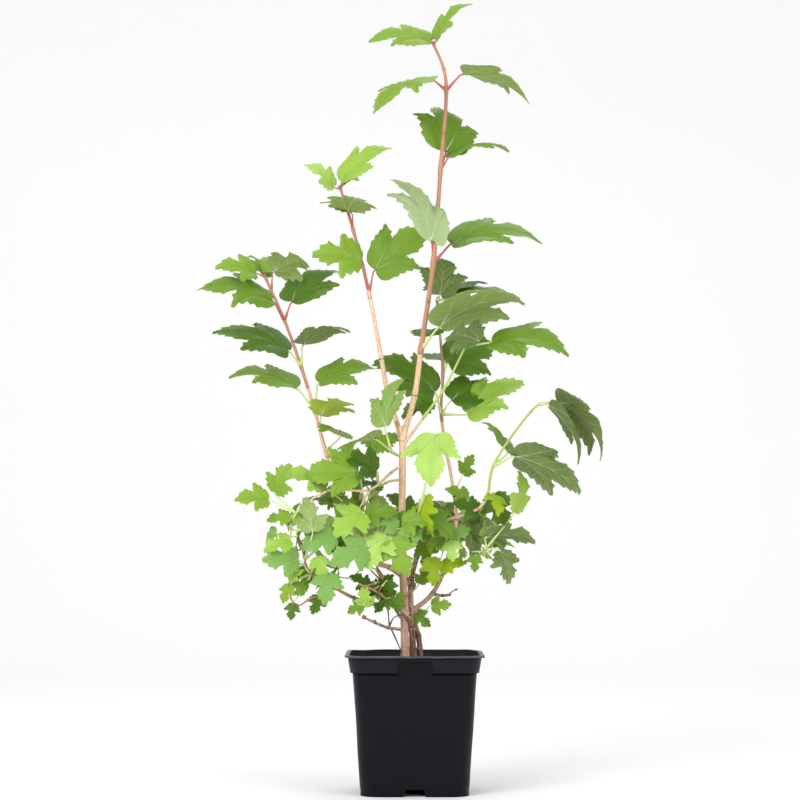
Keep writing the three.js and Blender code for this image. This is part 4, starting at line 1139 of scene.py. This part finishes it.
# The heights of the painted shadow lines under the collar and under the lip: near-black under the collar's
# step, and under the lip the wall's darker plastic in place of the collar's.
SHADED = dict(collar=1.6, lip=2.0)
PANEL_EDGE = 3  # the slanted edges of a panel lie within this of its mean half width
LEVEL = 0.5  # a face looks up or down, or to one side, where that part of its normal is greater
# The colours of the pot's walls, collar, lip, inside and steps, each with its gloss. The lip's lighter grey,
# also given to every face that looks up, is painted light from above; the steps' near-black is painted shade
# under the collar, under ledges and in the panels' slanted edges.
PLASTICS = {
    "wall": ("080811", 0.14), "collar": ("15161e", 0.14), "lip": ("46464a", 0.3),
    "inside": ("28282c", 0.14), "step": ("020203", 0.05),
}


def mixed(low, high, share):
    return low + (high - low) * share


def square_ring(half, z, corner=POT["corner"]):
    """A square with round corners, many points all round."""
    points = []
    for quarter in range(4):
        for step in range(CORNER_STEPS + 1):
            angle = math.pi / 2 * (quarter + step / CORNER_STEPS)
            centre = math.pi / 2 * quarter + math.pi / 4
            inner = (half - corner) * math.sqrt(2)
            points.append((inner * math.cos(centre) + corner * math.cos(angle),
                           inner * math.sin(centre) + corner * math.sin(angle), z))
        start = np.array(points[-1])
        turn = math.pi / 2 * (quarter + 1)
        side = 2 * (half - corner) * np.array([-math.sin(turn), math.cos(turn), 0])
        points += [tuple(start + side * k / SIDE_STEPS) for k in range(1, SIDE_STEPS)]
    return points


def loft(rings):
    return np.array([p for ring in rings for p in ring]), tube_faces(len(rings), len(rings[0]))


def pot_skin(inset, lip_half, rise, bottom, top):
    """The pot's outside, or set in by its wall its hollow, as rings from the bottom up."""
    low, high = POT["foot_height"] + POT["foot_step"], POT["collar_bottom"] - POT["collar_step"] + rise
    shares = [k / WALL_STEPS for k in range(WALL_STEPS + 1)]
    wall = [(mixed(POT["base_half"], POT["shoulder_half"], s), mixed(low, high, s)) for s in shares]
    # a ring where the painted shadow line under the collar begins
    wall.insert(WALL_STEPS, (POT["shoulder_half"], high - SHADED["collar"]))
    collar = (POT["collar_low_half"], POT["collar_high_half"])
    slope = (collar[1] - collar[0]) / (POT["lip_bottom"] - POT["collar_bottom"])
    profile = [(POT["foot_half"], bottom), (POT["foot_half"], POT["foot_height"])] + wall + [
        (collar[0], POT["collar_bottom"] + rise),
        # a ring where the painted shade under the lip begins
        (collar[1] - slope * SHADED["lip"], POT["lip_bottom"] - SHADED["lip"]),
        (collar[1], POT["lip_bottom"]), (lip_half, POT["lip_bottom"] + POT["lip_step"]), (lip_half, top)]
    return loft([square_ring(half - inset, z) for half, z in profile])


def side_bar(quarter, levels, widths, reach_in, grow=0):
    """A bar of trapezoid section across one side of the pot, reaching in from outside it."""
    low, high = levels[0], levels[1] + grow
    low_half, high_half = widths[0] / 2 + grow, widths[1] / 2 + grow
    turn = math.pi / 2 * quarter
    c, s = math.cos(turn), math.sin(turn)
    points = []
    for y in (reach_in - grow, POT["lip_half"] + 10):
        for x, z in ((-low_half, low), (low_half, low), (high_half, high), (-high_half, high)):
            points.append((x * c - y * s, x * s + y * c, z))
    return np.array(points), tube_faces(2, 4)


def wall_half_at(z):
    share = (z - POT["foot_height"]) / (POT["collar_bottom"] - POT["foot_height"])
    return mixed(POT["base_half"], POT["shoulder_half"], share)


def pot_bars(grow):
    """What is cut from the pot's sides: drain channels under all four and flat panels front and back."""
    widths = (CHANNEL["low_width"], CHANNEL["high_width"])
    reach_in = POT["base_half"] - CHANNEL["depth"]
    bars = [side_bar(quarter, (-1, CHANNEL["height"]), widths, reach_in, grow) for quarter in range(4)]
    widths = (PANEL["low_width"], PANEL["high_width"])
    reach_in = wall_half_at(PANEL["top"]) - PANEL["press"]
    bars += [side_bar(quarter, (PANEL["bottom"], PANEL["top"]), widths, reach_in, grow) for quarter in (0, 2)]
    return bars


def rough_object(name, shape):
    """An object for carving, with its faces turned outwards."""
    points, faces = shape
    mesh = bpy.data.meshes.new(name)
    mesh.from_pydata(points * MM, [], faces)
    reworked(mesh, faces_out)
    return new_object(name, mesh)


def apply_modifiers(target):
    shape = target.evaluated_get(bpy.context.evaluated_depsgraph_get())
    target.data = bpy.data.meshes.new_from_object(shape)
    target.modifiers.clear()


def carve(target, tools):
    """Cuts the tools from the target's mesh and removes them."""
    for tool in tools:
        cut = target.modifiers.new("cut", "BOOLEAN")
        cut.operation = "DIFFERENCE"
        cut.solver = "EXACT"
        cut.object = tool
    apply_modifiers(target)
    for tool in tools:
        bpy.data.objects.remove(tool)


def round_edges(target):
    rim = target.modifiers.new("soft edges", "BEVEL")
    rim.width = EDGE_RADIUS * MM
    rim.segments = 2
    rim.limit_method = "ANGLE"
    rim.angle_limit = math.radians(SHARP_EDGE)
    apply_modifiers(target)


def smooth_shade(work):
    for face in work.faces:
        face.smooth = True
    for edge in work.edges:
        edge.smooth = len(edge.link_faces) == 2 and edge.calc_face_angle(0) < math.radians(SHARP_SHADE)


def plastic_of(face):
    """The name of the plastic that a face of the pot has, by its place and the way that it looks: painted
    light on faces that look up, and painted shade under ledges, in the panels' slanted edges and in bands
    under the collar and the lip.
    """
    x, y, z = face.center / MM
    step = POT["collar_bottom"] - POT["collar_step"]
    if z < step - SHADED["collar"]:
        return "wall"
    panel_half = (PANEL["low_width"] + PANEL["high_width"]) / 4
    by_panel = abs(y) > POT["base_half"] and abs(x) < panel_half + PANEL_EDGE
    by_panel = by_panel and z < PANEL["top"] + EDGE_RADIUS
    # faces that look up: the lip's lighter grey, painted light from above
    if face.normal.z > LEVEL:
        return "lip"
    if face.normal.x * x + face.normal.y * y < 0:
        return "inside"
    # faces that look down and the panels' slanted edges: near-black, painted shade
    if face.normal.z < -LEVEL or (by_panel and abs(face.normal.x) > LEVEL):
        return "step"
    if by_panel and abs(x) < panel_half - PANEL_EDGE:
        return "wall"
    # the band under the collar's step: near-black, a painted shadow line
    if z < step:
        return "step"
    if z > POT["lip_bottom"] + POT["lip_step"]:
        return "lip"
    # the band under the lip: the wall's darker plastic, painted shade
    return "wall" if z > POT["lip_bottom"] - SHADED["lip"] else "collar"


def warp(mesh):
    """The lip's waves and the walls' slight bulges."""
    for vertex in mesh.vertices:
        x, y, z = vertex.co / MM
        share = max(0, (z - LIP_WAVE["start"]) / (POT["height"] - LIP_WAVE["start"])) ** 2
        wave = noise.noise((x / LIP_WAVE["length"], y / LIP_WAVE["length"], 1)) - 0.5
        vertex.co.z += LIP_WAVE["height"] * MM * share * wave
        rise = math.sin(math.pi * min(1, z / BULGE["top"]))
        bulge = BULGE["height"] * rise * noise.noise([c / BULGE["length"] for c in (x, y, z)])
        vertex.co.x += bulge * MM * x / BULGE["half"]
        vertex.co.y += bulge * MM * y / BULGE["half"]


def pot():
    inset = POT["wall"]
    skin = pot_skin(inset, POT["collar_high_half"], inset, POT["floor"], POT["height"] + 1)
    hollow = rough_object("hollow", skin)
    carve(hollow, [rough_object("bar", bar) for bar in pot_bars(inset)])
    piece = rough_object("nursery_pot", pot_skin(0, POT["lip_half"], 0, 0, POT["height"]))
    carve(piece, [rough_object("bar", bar) for bar in pot_bars(0)] + [hollow])
    warp(piece.data)
    round_edges(piece)
    reworked(piece.data, smooth_shade)
    for name, (colour, gloss) in PLASTICS.items():
        look = surface(f"plastic_{name}", colour, 0.42, 1.2, 0.02, spread=0.06, specular=gloss, coarse=30)
        piece.data.materials.append(look)
    # each face's plastic, painted light and shade included, as plastic_of gives it
    for face in piece.data.polygons:
        face.material_index = list(PLASTICS).index(plastic_of(face))
    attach(piece, "root")
    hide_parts("pot")


SOIL_RINGS = 26  # from the wall to the middle
SOIL_EDGE = SOIL_TOP - 8  # where the soil's side ends and its uneven top begins
SOIL_FOOT = dict(level=40, inset=6)
SOIL_SINK = 0.6
LUMPS = ((1.2, 9, 0), (0.8, 3, 5))  # height and length of two sizes of lumps, and their place in the noise


def soil_height(x, y):
    far = max(abs(x), abs(y)) / POT["shoulder_half"]
    height = SOIL_TOP + SOIL_CROWN * (1 - far ** 3) - SOIL_SINK
    for rise, length, level in LUMPS:
        height += rise * noise.noise((x / length, y / length, level))
    return height


def soil():
    """A body of compost whose top is uneven, with bits of bark and fibre lying on it."""
    half = wall_half_at(SOIL_EDGE) - POT["wall"] - CLEARANCE
    rings = [square_ring(half - SOIL_FOOT["inset"], SOIL_FOOT["level"]), square_ring(half, SOIL_EDGE)]
    for ring in range(SOIL_RINGS):
        share = 1 - ring / SOIL_RINGS
        flat = [(x * half * share, y * half * share) for x, y, _ in square_ring(1, 0, corner=0.3)]
        rings.append([(x, y, soil_height(x, y)) for x, y in flat])
    heap = Heap()
    heap.add(*loft(rings))
    heap.nodes.add("potting_soil")
    piece_from("compost", heap, [surface("compost", "2e2119", 0.95, fine=2.2, depth=0.9)])
    grains(half)


GRAINS = {"3a291d": 900, "57402c": 420, "1f1712": 500, "8a7152": 90}  # how many bits of each colour
GRAIN_SIZES = (0.5, 1.7)
GRAIN_MARGIN = 4  # how far from the wall the bits stay
CUT_CORNER = 1.75  # no bits where both ways from the middle add up to more half widths


def grains(half):
    draw = Draw(77)
    reach = half - GRAIN_MARGIN
    for number, (colour, count) in enumerate(GRAINS.items()):
        heap = Heap()
        for _ in range(count):
            x, y = draw.between(-reach, reach), draw.between(-reach, reach)
            if abs(x) + abs(y) > CUT_CORNER * half:
                continue
            size = draw.between(*GRAIN_SIZES)
            heap.add(*grain_shape(np.array([x, y, soil_height(x, y) + 0.1 * size]), size, draw))
        look = surface(f"bits_{number}", colour, 0.9, fine=1, depth=0.3)
        piece_from(f"compost_bits_{number}", heap, [look])


def grain_shape(place, size, draw):
    """A lump or chip: an uneven eight-cornered box, turned at random."""
    long, thin = draw.between(0.8, 2.2), draw.between(0.35, 0.9)
    turn, tip = draw.between(0, 6.28), draw.between(-0.4, 0.4)
    along = np.array([math.cos(turn), math.sin(turn), math.sin(tip)])
    across = np.array([-math.sin(turn), math.cos(turn), 0])
    corners = []
    for a in (-1, 1):
        for b, c in ((-1, -1), (1, -1), (1, 1), (-1, 1)):
            wide = draw.between(0.6, 1)
            corners.append(place + size * (a * long * along * wide + b * across * wide + c * thin
                                           * np.array([0, 0, 1]) * wide))
    return np.array(corners), tube_faces(2, 4)


# ---------------------------------------------------------------- floor, light and camera, in metres
SWEEP = dict(front=-3.5, bend=2.2, radius=1.2, top=5.0, half_width=5.0)
PAPER = (0.9, 0.9, 0.9, 1)


def floor():
    """A pale floor that sweeps up behind the plant."""
    bend, radius = SWEEP["bend"], SWEEP["radius"]
    turns = np.linspace(0, 1.57, 14)
    profile = [(SWEEP["front"], 0.0)]
    profile += [(bend + radius * math.sin(a), radius - radius * math.cos(a)) for a in turns]
    profile.append((bend + radius, SWEEP["top"]))
    points = [(x, y, z) for y, z in profile for x in (-SWEEP["half_width"], SWEEP["half_width"])]
    faces = [(2 * i, 2 * i + 1, 2 * i + 3, 2 * i + 2) for i in range(len(profile) - 1)]
    mesh = bpy.data.meshes.new("floor")
    mesh.from_pydata(points, [], faces)
    mesh.polygons.foreach_set("use_smooth", np.ones(len(faces), bool))
    sweep = new_object("floor", mesh)
    paper = bpy.data.materials.new("paper")
    paper.use_nodes = True
    set_inputs(paper.node_tree.nodes["Principled BSDF"], Base_Color=PAPER, Roughness=0.9)
    mesh.materials.append(paper)


# Each soft light's place, size and power. All are aimed at the crown.
LIGHTS = [((-1.7, -2.5, 2.1), 1.7, 66), ((2.1, -2.1, 1.4), 1.8, 30), ((0.3, 1.9, 2.8), 1.4, 14)]
AIM = (0, 0, 0.55)
SKY = 0.78


def lights():
    world = bpy.data.worlds.new("studio")
    bpy.context.scene.world = world
    world.use_nodes = True
    set_inputs(world.node_tree.nodes["Background"], Color=(1, 1, 1, 1), Strength=SKY)
    for number, (place, size, power) in enumerate(LIGHTS):
        lamp = bpy.data.lights.new(f"softbox_{number}", "AREA")
        lamp.size = size
        lamp.energy = power
        box = new_object(f"softbox_{number}", lamp)
        box.location = place
        box.rotation_euler = (Vector(AIM) - Vector(place)).to_track_quat("-Z", "Y").to_euler()


# The camera's place, how far it looks up, and its focal length as a multiple of half the picture's width.
CAMERA = dict(place=(-0.0175, -2.7, 0.3), tilt=3.667, focal=2217 / 400)


def camera():
    lens = bpy.data.cameras.new("camera")
    lens.sensor_fit = "HORIZONTAL"
    lens.angle = 2 * math.atan(1 / CAMERA["focal"])
    eye = new_object("camera", lens)
    eye.location = CAMERA["place"]
    eye.rotation_euler = (math.radians(90 + CAMERA["tilt"]), 0, 0)
    bpy.context.scene.camera = eye


foliage()
bark()
pot()
soil()
floor()
lights()
camera()
bpy.context.scene.view_settings.view_transform = "Standard"
